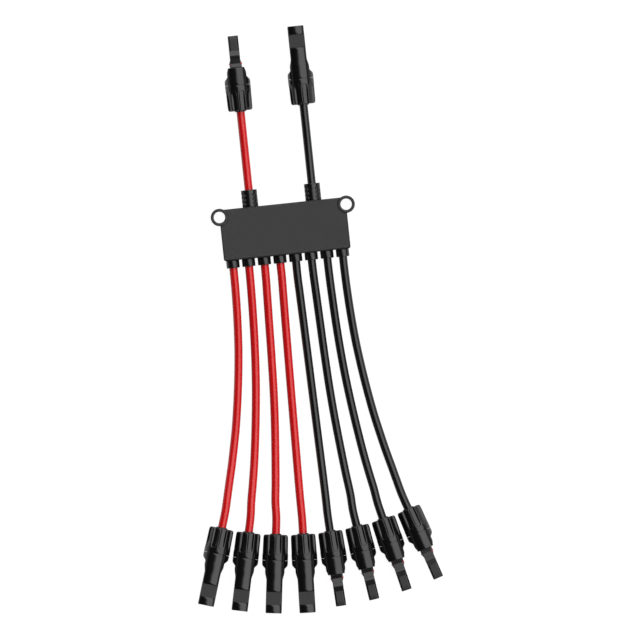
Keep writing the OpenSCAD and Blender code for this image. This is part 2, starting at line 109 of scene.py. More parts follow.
def grow(tree, mesh, values):
    # runs a Geometry Nodes tree on a mesh and gives back a plain mesh
    holder = bpy.data.objects.new(tree.name, mesh)
    bpy.context.collection.objects.link(holder)
    modifier = holder.modifiers.new(tree.name, "NODES")
    modifier.node_group = tree
    for item in tree.interface.items_tree:
        if item.item_type == "SOCKET" and item.in_out == "INPUT" and item.name in values:
            modifier[item.identifier] = values[item.name]
    graph = bpy.context.evaluated_depsgraph_get()
    made = bpy.data.meshes.new_from_object(holder.evaluated_get(graph), depsgraph=graph)
    bpy.data.objects.remove(holder)
    return made


def carve(name, mesh, cutters):
    # takes solid cutters away from a solid mesh
    body = bpy.data.objects.new(name, mesh)
    bpy.context.collection.objects.link(body)
    tools = bpy.data.collections.new(name + " cutters")
    bpy.context.scene.collection.children.link(tools)
    for cutter in cutters:
        tools.objects.link(bpy.data.objects.new("cutter", cutter))
    modifier = body.modifiers.new("carve", "BOOLEAN")
    modifier.operation = "DIFFERENCE"
    modifier.solver = "EXACT"
    modifier.operand_type = "COLLECTION"
    modifier.collection = tools
    graph = bpy.context.evaluated_depsgraph_get()
    made = bpy.data.meshes.new_from_object(body.evaluated_get(graph), depsgraph=graph)
    for used in list(tools.objects) + [body]:
        bpy.data.objects.remove(used)
    bpy.data.collections.remove(tools)
    return made


def tidyMesh(mesh, sharp=35, outward=True):
    work = bmesh.new()
    work.from_mesh(mesh)
    bmesh.ops.remove_doubles(work, verts=work.verts, dist=0.002)
    bmesh.ops.dissolve_degenerate(work, edges=work.edges, dist=0.001)
    if outward:
        bmesh.ops.recalc_face_normals(work, faces=work.faces)
    work.to_mesh(mesh)
    work.free()
    mesh.shade_smooth()
    mesh.set_sharp_from_angle(angle=math.radians(sharp))
    return mesh


def piece(name, mesh, finish, place, body, replaced):
    # puts a copy of a mesh drawn in millimetres at its place, as a piece of the object
    own = mesh.copy()
    own.name = name
    own.transform(place @ Matrix.Scale(mm, 4))
    if place.determinant() < 0:
        own.flip_normals()
    own.materials.clear()
    own.materials.append(finish)
    made = bpy.data.objects.new(name, own)
    bpy.context.collection.objects.link(made)
    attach(made, body)
    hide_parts(*replaced)
    return made


def fillet(corners, steps=4, closed=False):
    # rounds the corners of an outline: each corner is [x, y] or [x, y, radius]
    made = []
    count = len(corners)
    for i, corner in enumerate(corners):
        here = np.array(corner[:2], float)
        radius = corner[2] if len(corner) > 2 else 0
        if not radius or (not closed and i in (0, count - 1)):
            made.append(here)
            continue
        before = np.array(corners[i - 1][:2], float) - here
        after = np.array(corners[(i + 1) % count][:2], float) - here
        before, after = before / np.linalg.norm(before), after / np.linalg.norm(after)
        half = math.acos(np.clip(before @ after, -1, 1)) / 2
        reach = radius / math.tan(half)
        middle = (before + after) / np.linalg.norm(before + after)
        centre = here + middle * radius / math.sin(half)
        first, last = here + before * reach - centre, here + after * reach - centre
        turn = math.acos(np.clip(first @ last / radius ** 2, -1, 1))
        for k in range(steps + 1):
            t = k / steps
            made.append(centre + (math.sin((1 - t) * turn) * first + math.sin(t * turn) * last) / math.sin(turn))
    return np.array(made)


def lathe(profile, angles):
    # turns a closed outline of [radius, height] points about Z
    profile = np.asarray(profile, float)
    angles = np.radians(np.asarray(angles, float))
    rows, columns = len(profile), len(angles)
    points = np.zeros((rows, columns, 3))
    points[:, :, 0] = profile[:, :1] * np.cos(angles)
    points[:, :, 1] = profile[:, :1] * np.sin(angles)
    points[:, :, 2] = profile[:, 1:]
    faces = []
    for i in range(rows):
        for k in range(columns):
            a, b = i * columns, ((i + 1) % rows) * columns
            m = (k + 1) % columns
            faces.append((a + k, a + m, b + m, b + k))
    return points.reshape(-1, 3), faces


def evenAngles(count):
    return [k * 360 / count for k in range(count)]


def shaft(profile, count=64):
    # a solid turned from an open outline that starts and ends on the axis
    profile = [list(p) for p in profile]
    points, faces = lathe(profile[1:-1], evenAngles(count))
    rows = len(profile) - 2
    faces = [f for f in faces if not (max(f) >= (rows - 1) * count and min(f) < count)] if rows > 2 else faces[:count]
    points = list(points) + [(0, 0, profile[0][1]), (0, 0, profile[-1][1])]
    last = (rows - 1) * count
    for k in range(count):
        m = (k + 1) % count
        faces.append((len(points) - 2, m, k))
        faces.append((len(points) - 1, last + k, last + m))
    return points, faces


def loft(rings):
    # a solid through rings of [x, y, z] points, closed by a fan at each end
    count = len(rings[0])
    points = [p for ring in rings for p in ring]
    faces = []
    for i in range(len(rings) - 1):
        for k in range(count):
            m = (k + 1) % count
            faces.append((i * count + k, i * count + m, (i + 1) * count + m, (i + 1) * count + k))
    for ring, order in ((0, -1), (len(rings) - 1, 1)):
        points.append(np.mean(rings[ring], axis=0))
        for k in range(count):
            a, b = ring * count + k, ring * count + (k + 1) % count
            faces.append((len(points) - 1, a, b) if order > 0 else (len(points) - 1, b, a))
    return points, faces


def boxMesh(low, high):
    x0, y0, z0 = low
    x1, y1, z1 = high
    points = [(x, y, z) for z in (z0, z1) for y in (y0, y1) for x in (x0, x1)]
    faces = [(0, 2, 3, 1), (4, 5, 7, 6), (0, 1, 5, 4), (2, 6, 7, 3), (0, 4, 6, 2), (1, 3, 7, 5)]
    return toMesh("box", points, faces)


# ---- places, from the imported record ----

def couplerPlace(kind, number):
    # Z runs from the rear of the nut to the front, Y is up
    joint = joints[f"{kind}_nut_turn_{number}"]
    away = -Vector(joint["axis"]).normalized()
    up = Vector((0, 0, 1))
    side = up.cross(away)
    place = Matrix((side, up, away)).transposed().to_4x4()
    place.translation = Vector(joint["pos_m"])
    return place


kinds = ("pin", "socket")
places = {(kind, number): couplerPlace(kind, number) for kind in kinds for number in range(1, 6)}


# ---- camera ----

viewSettings = {"centre": (18.3, -67.1), "width": 457, "turn": 5.98, "height": 1.5}


def makeCamera(settings):
    lens = bpy.data.cameras.new("camera")
    lens.type = "ORTHO"
    lens.ortho_scale = settings["width"] * mm
    lens.clip_end = 20
    camera = bpy.data.objects.new("camera", lens)
    bpy.context.collection.objects.link(camera)
    camera.location = (settings["centre"][0] * mm, settings["centre"][1] * mm, settings["height"])
    camera.rotation_euler = (0, 0, -math.radians(settings["turn"]))
    bpy.context.scene.camera = camera


makeCamera(viewSettings)
print("camera placed")


# ---- shader groups ----

def makeGrainGroup():
    # fine spark-eroded grain and the soft waviness of a moulding
    tree, start, end = newGroup("mouldGrain", "ShaderNodeTree", [
        ("Vector", "NodeSocketVector", None), ("Grain Size", "NodeSocketFloat", 0.4),
        ("Grain", "NodeSocketFloat", 0.5), ("Waviness", "NodeSocketFloat", 0.3)],
        [("Height", "NodeSocketFloat"), ("Mask", "NodeSocketFloat")])
    density = calc(tree, "DIVIDE", 1000.0, start.outputs["Grain Size"])
    fine = addNode(tree, "ShaderNodeTexNoise",
                   {"Vector": start.outputs["Vector"], "Scale": density, "Detail": 3.0, "Roughness": 0.6})
    wave = addNode(tree, "ShaderNodeTexNoise",
                   {"Vector": start.outputs["Vector"], "Scale": 130.0, "Detail": 1.0})
    fineHeight = calc(tree, "MULTIPLY", fine.outputs["Fac"], start.outputs["Grain"])
    waveHeight = calc(tree, "MULTIPLY", wave.outputs["Fac"], start.outputs["Waviness"])
    tree.links.new(calc(tree, "ADD", fineHeight, waveHeight), end.inputs["Height"])
    tree.links.new(fine.outputs["Fac"], end.inputs["Mask"])
    return tree


def makeToneGroup():
    # handling marks and a trace of dust: small shifts of tone and gloss
    tree, start, end = newGroup("handledTone", "ShaderNodeTree", [
        ("Vector", "NodeSocketVector", None), ("Color", "NodeSocketColor", (0.5, 0.5, 0.5, 1)),
        ("Dust Color", "NodeSocketColor", (0.4, 0.38, 0.35, 1)), ("Dust", "NodeSocketFloat", 0.02),
        ("Roughness", "NodeSocketFloat", 0.4), ("Gloss Change", "NodeSocketFloat", 0.06)],
        [("Color", "NodeSocketColor"), ("Roughness", "NodeSocketFloat")])
    broad = addNode(tree, "ShaderNodeTexNoise",
                    {"Vector": start.outputs["Vector"], "Scale": 60.0, "Detail": 5.0, "Roughness": 0.65})
    specks = addNode(tree, "ShaderNodeTexNoise",
                     {"Vector": start.outputs["Vector"], "Scale": 1400.0, "Detail": 2.0})
    speckMask = ramp(tree, specks.outputs["Fac"], 0.58, 0.75)
    broadMask = ramp(tree, broad.outputs["Fac"], 0.35, 0.7)
    dust = calc(tree, "MULTIPLY", calc(tree, "MULTIPLY", speckMask, broadMask), start.outputs["Dust"])
    mixed = addNode(tree, "ShaderNodeMix", {0: dust, 6: start.outputs["Color"], 7: start.outputs["Dust Color"]},
                    data_type="RGBA")
    change = calc(tree, "MULTIPLY", calc(tree, "SUBTRACT", broad.outputs["Fac"], 0.5), start.outputs["Gloss Change"])
    tree.links.new(mixed.outputs[2], end.inputs["Color"])
    tree.links.new(calc(tree, "ADD", start.outputs["Roughness"], change, clamp=True), end.inputs["Roughness"])
    return tree


grainGroup = makeGrainGroup()
toneGroup = makeToneGroup()


def startMaterial(name):
    material = bpy.data.materials.new(name)
    material.use_nodes = True
    tree = material.node_tree
    tree.nodes.clear()
    shader = tree.nodes.new("ShaderNodeBsdfPrincipled")
    output = tree.nodes.new("ShaderNodeOutputMaterial")
    tree.links.new(shader.outputs[0], output.inputs["Surface"])
    return material, tree, shader


def moulded(name, look):
    # plastic or rubber as it comes from the mould
    material, tree, shader = startMaterial(name)
    spot = tree.nodes.new("ShaderNodeTexCoord").outputs["Object"]
    grain = addNode(tree, "ShaderNodeGroup", {}, node_tree=grainGroup)
    tone = addNode(tree, "ShaderNodeGroup", {}, node_tree=toneGroup)
    for group in (grain, tone):
        tree.links.new(spot, group.inputs["Vector"])
    grain.inputs["Grain Size"].default_value = look["grainSize"]
    grain.inputs["Grain"].default_value = look["grain"]
    grain.inputs["Waviness"].default_value = look["waviness"]
    tone.inputs["Color"].default_value = (*look["color"], 1)
    tone.inputs["Dust"].default_value = look["dust"]
    tone.inputs["Gloss Change"].default_value = look["glossChange"]
    tone.inputs["Roughness"].default_value = look["roughness"]
    tree.links.new(tone.outputs["Color"], shader.inputs["Base Color"])
    tree.links.new(tone.outputs["Roughness"], shader.inputs["Roughness"])
    bump = addNode(tree, "ShaderNodeBump",
                   {"Height": grain.outputs["Height"], "Strength": look["bump"], "Distance": 0.00005})
    tree.links.new(bump.outputs["Normal"], shader.inputs["Normal"])
    shader.inputs["Specular IOR Level"].default_value = look["specular"]
    return material


def jacket(name, look):
    # extruded cable jacket: faint lines along it, from the piece's own UV map
    material, tree, shader = startMaterial(name)
    coords = tree.nodes.new("ShaderNodeTexCoord")
    stretch = addNode(tree, "ShaderNodeMapping", {"Vector": coords.outputs["UV"], "Scale": (9.0, 1.0, 1.0)})
    lines = addNode(tree, "ShaderNodeTexNoise",
                    {"Vector": stretch.outputs["Vector"], "Scale": look["lines"], "Detail": 2.0})
    tone = addNode(tree, "ShaderNodeGroup", {}, node_tree=toneGroup)
    grain = addNode(tree, "ShaderNodeGroup", {}, node_tree=grainGroup)
    for group in (grain, tone):
        tree.links.new(coords.outputs["Object"], group.inputs["Vector"])
    grain.inputs["Grain Size"].default_value = look["grainSize"]
    grain.inputs["Grain"].default_value = look["grain"]
    grain.inputs["Waviness"].default_value = look["waviness"]
    tone.inputs["Color"].default_value = (*look["color"], 1)
    tone.inputs["Dust"].default_value = look["dust"]
    tone.inputs["Roughness"].default_value = look["roughness"]
    tone.inputs["Gloss Change"].default_value = look["glossChange"]
    height = calc(tree, "ADD", calc(tree, "MULTIPLY", lines.outputs["Fac"], look["lineDepth"]), grain.outputs["Height"])
    bump = addNode(tree, "ShaderNodeBump", {"Height": height, "Strength": look["bump"], "Distance": 0.00005})
    tree.links.new(tone.outputs["Color"], shader.inputs["Base Color"])
    tree.links.new(tone.outputs["Roughness"], shader.inputs["Roughness"])
    tree.links.new(bump.outputs["Normal"], shader.inputs["Normal"])
    shader.inputs["Specular IOR Level"].default_value = look["specular"]
    shader.inputs["Specular Tint"].default_value = (*look["tint"], 1)
    return material


def metal(name, look):
    # drawn or plated metal with fine turning marks and some tarnish
    material, tree, shader = startMaterial(name)
    spot = tree.nodes.new("ShaderNodeTexCoord").outputs["Object"]
    tone = addNode(tree, "ShaderNodeGroup", {}, node_tree=toneGroup)
    tree.links.new(spot, tone.inputs["Vector"])
    tone.inputs["Color"].default_value = (*look["color"], 1)
    tone.inputs["Dust Color"].default_value = (*look["tarnish"], 1)
    tone.inputs["Dust"].default_value = look["tarnishAmount"]
    tone.inputs["Roughness"].default_value = look["roughness"]
    tone.inputs["Gloss Change"].default_value = look["glossChange"]
    marks = addNode(tree, "ShaderNodeTexNoise", {"Vector": spot, "Scale": 3500.0, "Detail": 2.0})
    bump = addNode(tree, "ShaderNodeBump",
                   {"Height": marks.outputs["Fac"], "Strength": look["bump"], "Distance": 0.00003})
    tree.links.new(tone.outputs["Color"], shader.inputs["Base Color"])
    tree.links.new(tone.outputs["Roughness"], shader.inputs["Roughness"])
    tree.links.new(bump.outputs["Normal"], shader.inputs["Normal"])
    shader.inputs["Metallic"].default_value = 1.0
    return material


finishes = {
    "case_plastic": moulded("case plastic", {
        "color": (0.0045, 0.0045, 0.0047), "roughness": 0.24, "glossChange": 0.05, "dust": 0.006,
        "grainSize": 0.35, "grain": 0.6, "waviness": 0.3, "bump": 0.12, "specular": 0.5}),
    "coupler_plastic": moulded("coupler plastic", {
        "color": (0.0035, 0.0035, 0.0037), "roughness": 0.19, "glossChange": 0.05,
        "dust": 0.004, "grainSize": 0.3, "grain": 0.4, "waviness": 0.4, "bump": 0.1, "specular": 0.5}),
    "nut_plastic": moulded("nut plastic", {
        "color": (0.0035, 0.0035, 0.0037), "roughness": 0.16, "glossChange": 0.05, "dust": 0.004,
        "grainSize": 0.3, "grain": 0.2, "waviness": 0.4, "bump": 0.1, "specular": 0.5}),
    "bush_rubber": moulded("bush rubber", {
        "color": (0.0035, 0.0035, 0.0037), "roughness": 0.2, "glossChange": 0.06, "dust": 0.006,
        "grainSize": 0.25, "grain": 0.5, "waviness": 0.4, "bump": 0.12, "specular": 0.5}),
    "seal_rubber": moulded("seal rubber", {
        "color": (0.02, 0.02, 0.02), "roughness": 0.55, "glossChange": 0.1, "dust": 0.03,
        "grainSize": 0.3, "grain": 1.0, "waviness": 0.3, "bump": 0.3, "specular": 0.4}),
    "ring_rubber": moulded("ring rubber", {
        "color": (0.42, 0.012, 0.03), "roughness": 0.35, "glossChange": 0.08, "dust": 0.02,
        "grainSize": 0.2, "grain": 0.5, "waviness": 0.3, "bump": 0.15, "specular": 0.5}),
    "red_jacket": jacket("red jacket", {
        "color": (0.52, 0.0045, 0.006), "roughness": 0.2, "glossChange": 0.03, "dust": 0.004, "lines": 900.0,
        "lineDepth": 0.3, "grainSize": 0.25, "grain": 0.2, "waviness": 0.3, "bump": 0.05, "specular": 0.9,
        "tint": (1.0, 0.5, 0.5)}),
    "black_jacket": jacket("black jacket", {
        "color": (0.0035, 0.0035, 0.0037), "roughness": 0.2, "glossChange": 0.03, "dust": 0.004, "lines": 900.0,
        "lineDepth": 0.3, "grainSize": 0.25, "grain": 0.2, "waviness": 0.3, "bump": 0.05, "specular": 0.5,
        "tint": (1.0, 1.0, 1.0)}),
    "copper": metal("bare copper", {
        "color": (0.86, 0.42, 0.26), "tarnish": (0.25, 0.1, 0.05), "tarnishAmount": 0.5, "roughness": 0.3,
        "glossChange": 0.15, "bump": 0.25}),
    "tinned_copper": metal("tinned copper", {
        "color": (0.72, 0.71, 0.68), "tarnish": (0.35, 0.34, 0.32), "tarnishAmount": 0.4, "roughness": 0.28,
        "glossChange": 0.12, "bump": 0.2}),
}
for part in frame["record"]["subparts"]:
    node = frame["nodes"][part["node"]]
    node.data.materials.clear()
    node.data.materials.append(finishes[part["material_slot"]])
print("finishes made:", len(finishes))


# ---- leads ----

leadSettings = {
    "radius": 2.95, "sides": 28, "spacing": 2.0, "height": 7, "pitch": 11.24, "trunkX": 22.6,
    "ends": (-12, 3, 18), "branchIn": (-11, -17.5, -24), "trunkIn": (11, 20, 31),
    "branchExit": -23.8, "trunkExit": 30.6,
    "branch": [
        [(5.6, -34, 6.8), (5.9, -46, 5.9), (6.2, -58, 4.7), (6.5, -70, 3.6), (6.8, -83, 3.1), (7.1, -96, 3),
         (7.4, -110, 3), (7.7, -124, 3), (8, -138, 3.1), (8.3, -152, 3.7), (8.6, -166, 5), (8.9, -180, 6.9),
         (9.1, -193, 8.5)],
        [(17, -34, 6.8), (17.4, -46, 5.9), (17.8, -58, 4.7), (18.2, -70, 3.6), (18.6, -83, 3.1), (19.1, -96, 3),
         (19.7, -110, 3), (20.5, -124, 3), (21.5, -138, 3.1), (22.7, -152, 3.7), (24, -166, 5), (25.4, -180, 6.9),
         (26.9, -193, 8.5)],
        [(28.2, -34, 6.8), (28.5, -46, 5.9), (28.9, -58, 4.7), (29.4, -70, 3.6), (30.1, -83, 3.1), (31, -96, 3),
         (32.2, -110, 3), (33.7, -124, 3), (35.4, -138, 3.1), (37.3, -152, 3.7), (39.4, -166, 5), (41.7, -179, 6.9),
         (44, -191, 8.5)],
        [(39.4, -34, 6.8), (39.7, -46, 5.9), (40.2, -58, 4.7), (40.9, -70, 3.6), (41.9, -83, 3.1), (43.3, -96, 3),
         (45.1, -110, 3), (47.2, -124, 3), (49.6, -138, 3.1), (52.3, -151, 3.7), (55.2, -164, 5), (58.2, -176, 6.9),
         (60.9, -187, 8.5)]],
    "trunk": [(22.6, 42, 6.7), (22.6, 54, 6.8), (22.6, 65, 8)],
}


def smoothPath(corners, spacing):
    # an even curve through every corner
    p = np.array(corners, float)
    p = np.vstack([2 * p[0] - p[1], p, 2 * p[-1] - p[-2]])
    gap = np.linalg.norm(np.diff(p, axis=0), axis=1) ** 0.5
    t = np.concatenate([[0], np.cumsum(gap)])
    dense = []
    for i in range(1, len(p) - 2):
        for u in np.linspace(t[i], t[i + 1], 24, endpoint=i == len(p) - 3):
            a = [(t[i + j] - u) / (t[i + j] - t[i + j - 1]) * p[i + j - 1]
                 + (u - t[i + j - 1]) / (t[i + j] - t[i + j - 1]) * p[i + j] for j in (0, 1, 2)]
            b = [(t[i + 1 + j] - u) / (t[i + 1 + j] - t[i - 1 + j]) * a[j]
                 + (u - t[i - 1 + j]) / (t[i + 1 + j] - t[i - 1 + j]) * a[j + 1] for j in (0, 1)]
            dense.append((t[i + 1] - u) / (t[i + 1] - t[i]) * b[0] + (u - t[i]) / (t[i + 1] - t[i]) * b[1])
    dense = np.array(dense)
    run = np.concatenate([[0], np.cumsum(np.linalg.norm(np.diff(dense, axis=0), axis=1))])
    stops = np.linspace(0, run[-1], max(3, round(run[-1] / spacing)) + 1)
    return np.stack([np.interp(stops, run, dense[:, k]) for k in range(3)], axis=1), float(run[-1])


def tubeMesh(name, path, radius, sides):
    along = np.gradient(path, axis=0)
    along /= np.linalg.norm(along, axis=1)[:, None]
    across = np.cross(along, (0, 0, 1))
    across /= np.linalg.norm(across, axis=1)[:, None]
    above = np.cross(across, along)
    rings = []
    for centre, n, b in zip(path, across, above):
        angles = np.radians(evenAngles(sides))
        rings.append(centre + radius * (np.cos(angles)[:, None] * n + np.sin(angles)[:, None] * b))
    points, faces = loft(rings)
    mesh = toMesh(name, points, faces)
    run = np.concatenate([[0], np.cumsum(np.linalg.norm(np.diff(path, axis=0), axis=1))])
    layer = mesh.uv_layers.new(name="UVMap")
    for polygon in mesh.polygons:
        for loop in polygon.loop_indices:
            vertex = mesh.loops[loop].vertex_index
            row, column = min(vertex // sides, len(path) - 1), vertex % sides
            if column == 0 and any(mesh.loops[n].vertex_index % sides > sides / 2 for n in polygon.loop_indices):
                column = sides
            layer.data[loop].uv = (run[row] * mm * 0.02, column / sides * 2 * math.pi * radius * mm)
    return mesh


cords = {}


def makeLead(settings, name, side, row, finish, kind, number):
    place = places[kind, number]
    if row is None:
        x, route, lead = settings["trunkX"], settings["trunk"], settings["trunkIn"]
        leave = settings["trunkExit"]
    else:
        x, route, lead = (row + 0.5) * settings["pitch"], settings["branch"][row], settings["branchIn"]
        leave = settings["branchExit"]
    corners = [(side * x, y, settings["height"]) for y in lead] + [(side * a, b, c) for a, b, c in route]
    corners += [tuple(place @ Vector((0, 0, s * mm)) / mm) for s in settings["ends"]]
    path, length = smoothPath(corners, settings["spacing"])
    mesh = tidyMesh(tubeMesh(name, path, settings["radius"], settings["sides"]), 60)
    made = piece(name.replace("_", "-"), mesh, finishes[finish], Matrix.Identity(4), "harness", [name])
    cords[kind, number] = {
        "piece": made, "exit": (side * x * mm, leave * mm, settings["height"] * mm), "length": length * mm,
        "diameter": 2 * settings["radius"] * mm, "path": [tuple(p * mm) for p in path]}


for number in range(1, 5):
    makeLead(leadSettings, f"red_branch_cable_{number}", -1, 4 - number, "red_jacket", "pin", number)
    makeLead(leadSettings, f"black_branch_cable_{number}", 1, number - 1, "black_jacket", "socket", number)
makeLead(leadSettings, "red_trunk_cable", -1, None, "red_jacket", "socket", 5)
makeLead(leadSettings, "black_trunk_cable", 1, None, "black_jacket", "pin", 5)
print("leads laid:", len(cords))


# ---- junction box ----

caseSettings = {
    "height": 14, "split": 11.6, "floorEdge": 0.45, "earEdge": 0.55, "splitEdge": 0.16, "coverEdge": 0.42,
    "coverBevel": 0.9, "halfWidth": 45.5, "halfDepth": 18.4, "earX": 45.5, "earY": 13.2, "earRadius": 6.25,
    "marks": [(-36.7, 1.1), (36.7, 1.1), (-36.7, -13.3), (0.4, -13.3), (36.7, -13.3)], "markDepth": 0.3, "markFloor": 0.6,
}


def cadCopy(node):
    # a merged copy of a CAD node in millimetres, with its flat faces whole
    work = bmesh.new()
    work.from_mesh(frame["nodes"][node].data)
    bmesh.ops.scale(work, verts=work.verts, vec=(1000, 1000, 1000))
    bmesh.ops.remove_doubles(work, verts=work.verts, dist=0.001)
    bmesh.ops.dissolve_limit(work, angle_limit=math.radians(0.5), verts=work.verts, edges=work.edges)
    return work


def soften(work, choose, width, steps):
    work.edges.ensure_lookup_table()
    chosen = []
    for edge in work.edges:
        if len(edge.link_faces) == 2 and edge.calc_face_angle(0) > math.radians(25):
            a, b = edge.verts[0].co, edge.verts[1].co
            if choose(a, b, (a + b) / 2):
                chosen.append(edge)
    bmesh.ops.bevel(work, geom=chosen, offset=width, segments=steps, profile=0.5,
                    affect="EDGES", clamp_overlap=True, miter_outer="ARC")
    return len(chosen)


def evenNormals(mesh):
    # keeps broad flat faces flat beside their rounded edges
    body = bpy.data.objects.new(mesh.name, mesh)
    bpy.context.collection.objects.link(body)
    modifier = body.modifiers.new("even", "WEIGHTED_NORMAL")
    modifier.keep_sharp = True
    modifier.weight = 100
    graph = bpy.context.evaluated_depsgraph_get()
    made = bpy.data.meshes.new_from_object(body.evaluated_get(graph), depsgraph=graph)
    bpy.data.objects.remove(body)
    return made


def makeCase(settings):
    height, split = settings["height"], settings["split"]

    def outside(m, slack=0.02):
        # on the outer wall of the box or of an ear
        wall = abs(abs(m.x) - settings["halfWidth"]) < slack or abs(abs(m.y) - settings["halfDepth"]) < slack
        corner = abs(m.x) > settings["halfWidth"] - 1.7 and abs(m.y) > settings["halfDepth"] - 1.7
        ear = math.hypot(abs(m.x) - settings["earX"], m.y - settings["earY"]) > settings["earRadius"] - 0.2
        return (wall or corner or (ear and abs(m.x) > settings["halfWidth"] - 0.1)) and ear

    work = cadCopy("case_base")
    level = lambda a, b, z: abs(a.z - z) < 0.01 and abs(b.z - z) < 0.01
    count = soften(work, lambda a, b, m: level(a, b, height), settings["earEdge"], 4)
    count += soften(work, lambda a, b, m: level(a, b, 0), settings["floorEdge"], 3)
    count += soften(work, lambda a, b, m: level(a, b, split) and outside(m), settings["splitEdge"], 1)
    mesh = bpy.data.meshes.new("case base")
    work.to_mesh(mesh)
    work.free()
    mesh = evenNormals(tidyMesh(mesh, 32, outward=False))
    made = piece("case-base", mesh, finishes["case_plastic"], Matrix.Identity(4), "harness", ["case_base"])
    print("case base:", count, "edges softened,", len(made.data.polygons), "faces")

    work = cadCopy("case_cover")
    bevel = settings["coverBevel"]
    for mark in settings["marks"]:      # pin marks with sloping sides
        for vertex in work.verts:
            aside = Vector((vertex.co.x - mark[0], vertex.co.y - mark[1]))
            if aside.length < 1.2 and abs(vertex.co.z - height + settings["markDepth"]) < 0.05:
                vertex.co.x, vertex.co.y = mark[0] + aside.x * settings["markFloor"], mark[1] + aside.y * settings["markFloor"]

    def coverEdge(a, b, m):
        low, high = height - bevel, height
        top = level(a, b, high) and (abs(m.x) > settings["halfWidth"] - bevel - 0.05
                                     or abs(m.y) > settings["halfDepth"] - bevel - 0.05)
        return top or (level(a, b, low) and outside(m))

    count = soften(work, coverEdge, settings["coverEdge"], 3)
    count += soften(work, lambda a, b, m: level(a, b, split) and outside(m), settings["splitEdge"], 1)
    mesh = bpy.data.meshes.new("case cover")
    work.to_mesh(mesh)
    work.free()
    mesh = evenNormals(tidyMesh(mesh, 22, outward=False))
    made = piece("case-cover", mesh, finishes["case_plastic"], Matrix.Identity(4), "harness", ["case_cover"])
    print("case cover:", count, "edges softened,", len(made.data.polygons), "faces")


makeCase(caseSettings)


# ---- bushes ----

bushSettings = {
    "wall": 1.6, "collarDepth": 1.2, "cableHole": 3.0, "neck": 3.75, "collar": 4.35,
    "grommetRadius": 4.7, "grommetLength": 5.4, "bootRadius": 5.7, "bootLength": 12.2,
    "boxFace": 18.4, "axisHeight": 7, "pitch": 11.24, "trunkX": 22.6,
    "dimpleColumns": 12, "dimplePitch": 3.1, "dimpleRadius": 0.95, "dimpleDepth": 0.62, "firstDimple": 2.1,
}


def bushProfile(settings, radius, length, edge, stations=()):
    wall, collarDepth = settings["wall"], settings["collarDepth"]
    profile = fillet([
        [settings["cableHole"], -wall - collarDepth], [settings["collar"], -wall - collarDepth],
        [settings["collar"], -wall], [settings["neck"], -wall], [settings["neck"], 0],
        [radius, 0, 0.3], [radius, length, edge], [settings["cableHole"], length, 0.15]], closed=True)
    made = []
    for a, b in zip(profile, np.roll(profile, -1, axis=0)):
        made.append(a)
        if abs(a[0] - radius) < 0.01 and abs(b[0] - radius) < 0.01:    # more rings along the outer wall
            made += [np.array([radius, z]) for z in stations if a[1] + 0.05 < z < b[1] - 0.05]
    return made


def makeRowTree():
    # a row of copies along X
    tree, start, end = newGroup("leadRow", "GeometryNodeTree", [
        ("Geometry", "NodeSocketGeometry", None), ("Count", "NodeSocketInt", 8),
        ("Pitch", "NodeSocketFloat", 11.24), ("Finish", "NodeSocketMaterial", None)],
        [("Geometry", "NodeSocketGeometry")])
    reach = calc(tree, "MULTIPLY", calc(tree, "SUBTRACT", start.outputs["Count"], 1.0), start.outputs["Pitch"])
    half = calc(tree, "MULTIPLY", reach, -0.5)
    first = addNode(tree, "ShaderNodeCombineXYZ", {"X": half})
    step = addNode(tree, "ShaderNodeCombineXYZ", {"X": start.outputs["Pitch"]})
    line = addNode(tree, "GeometryNodeMeshLine", {
        "Count": start.outputs["Count"], "Start Location": first.outputs[0], "Offset": step.outputs[0]})
    copies = addNode(tree, "GeometryNodeInstanceOnPoints", {
        "Points": line.outputs[0], "Instance": start.outputs["Geometry"]})
    real = addNode(tree, "GeometryNodeRealizeInstances", {"Geometry": copies.outputs[0]})
    painted = addNode(tree, "GeometryNodeSetMaterial", {
        "Geometry": real.outputs[0], "Material": start.outputs["Finish"]})
    tree.links.new(painted.outputs[0], end.inputs["Geometry"])
    return tree


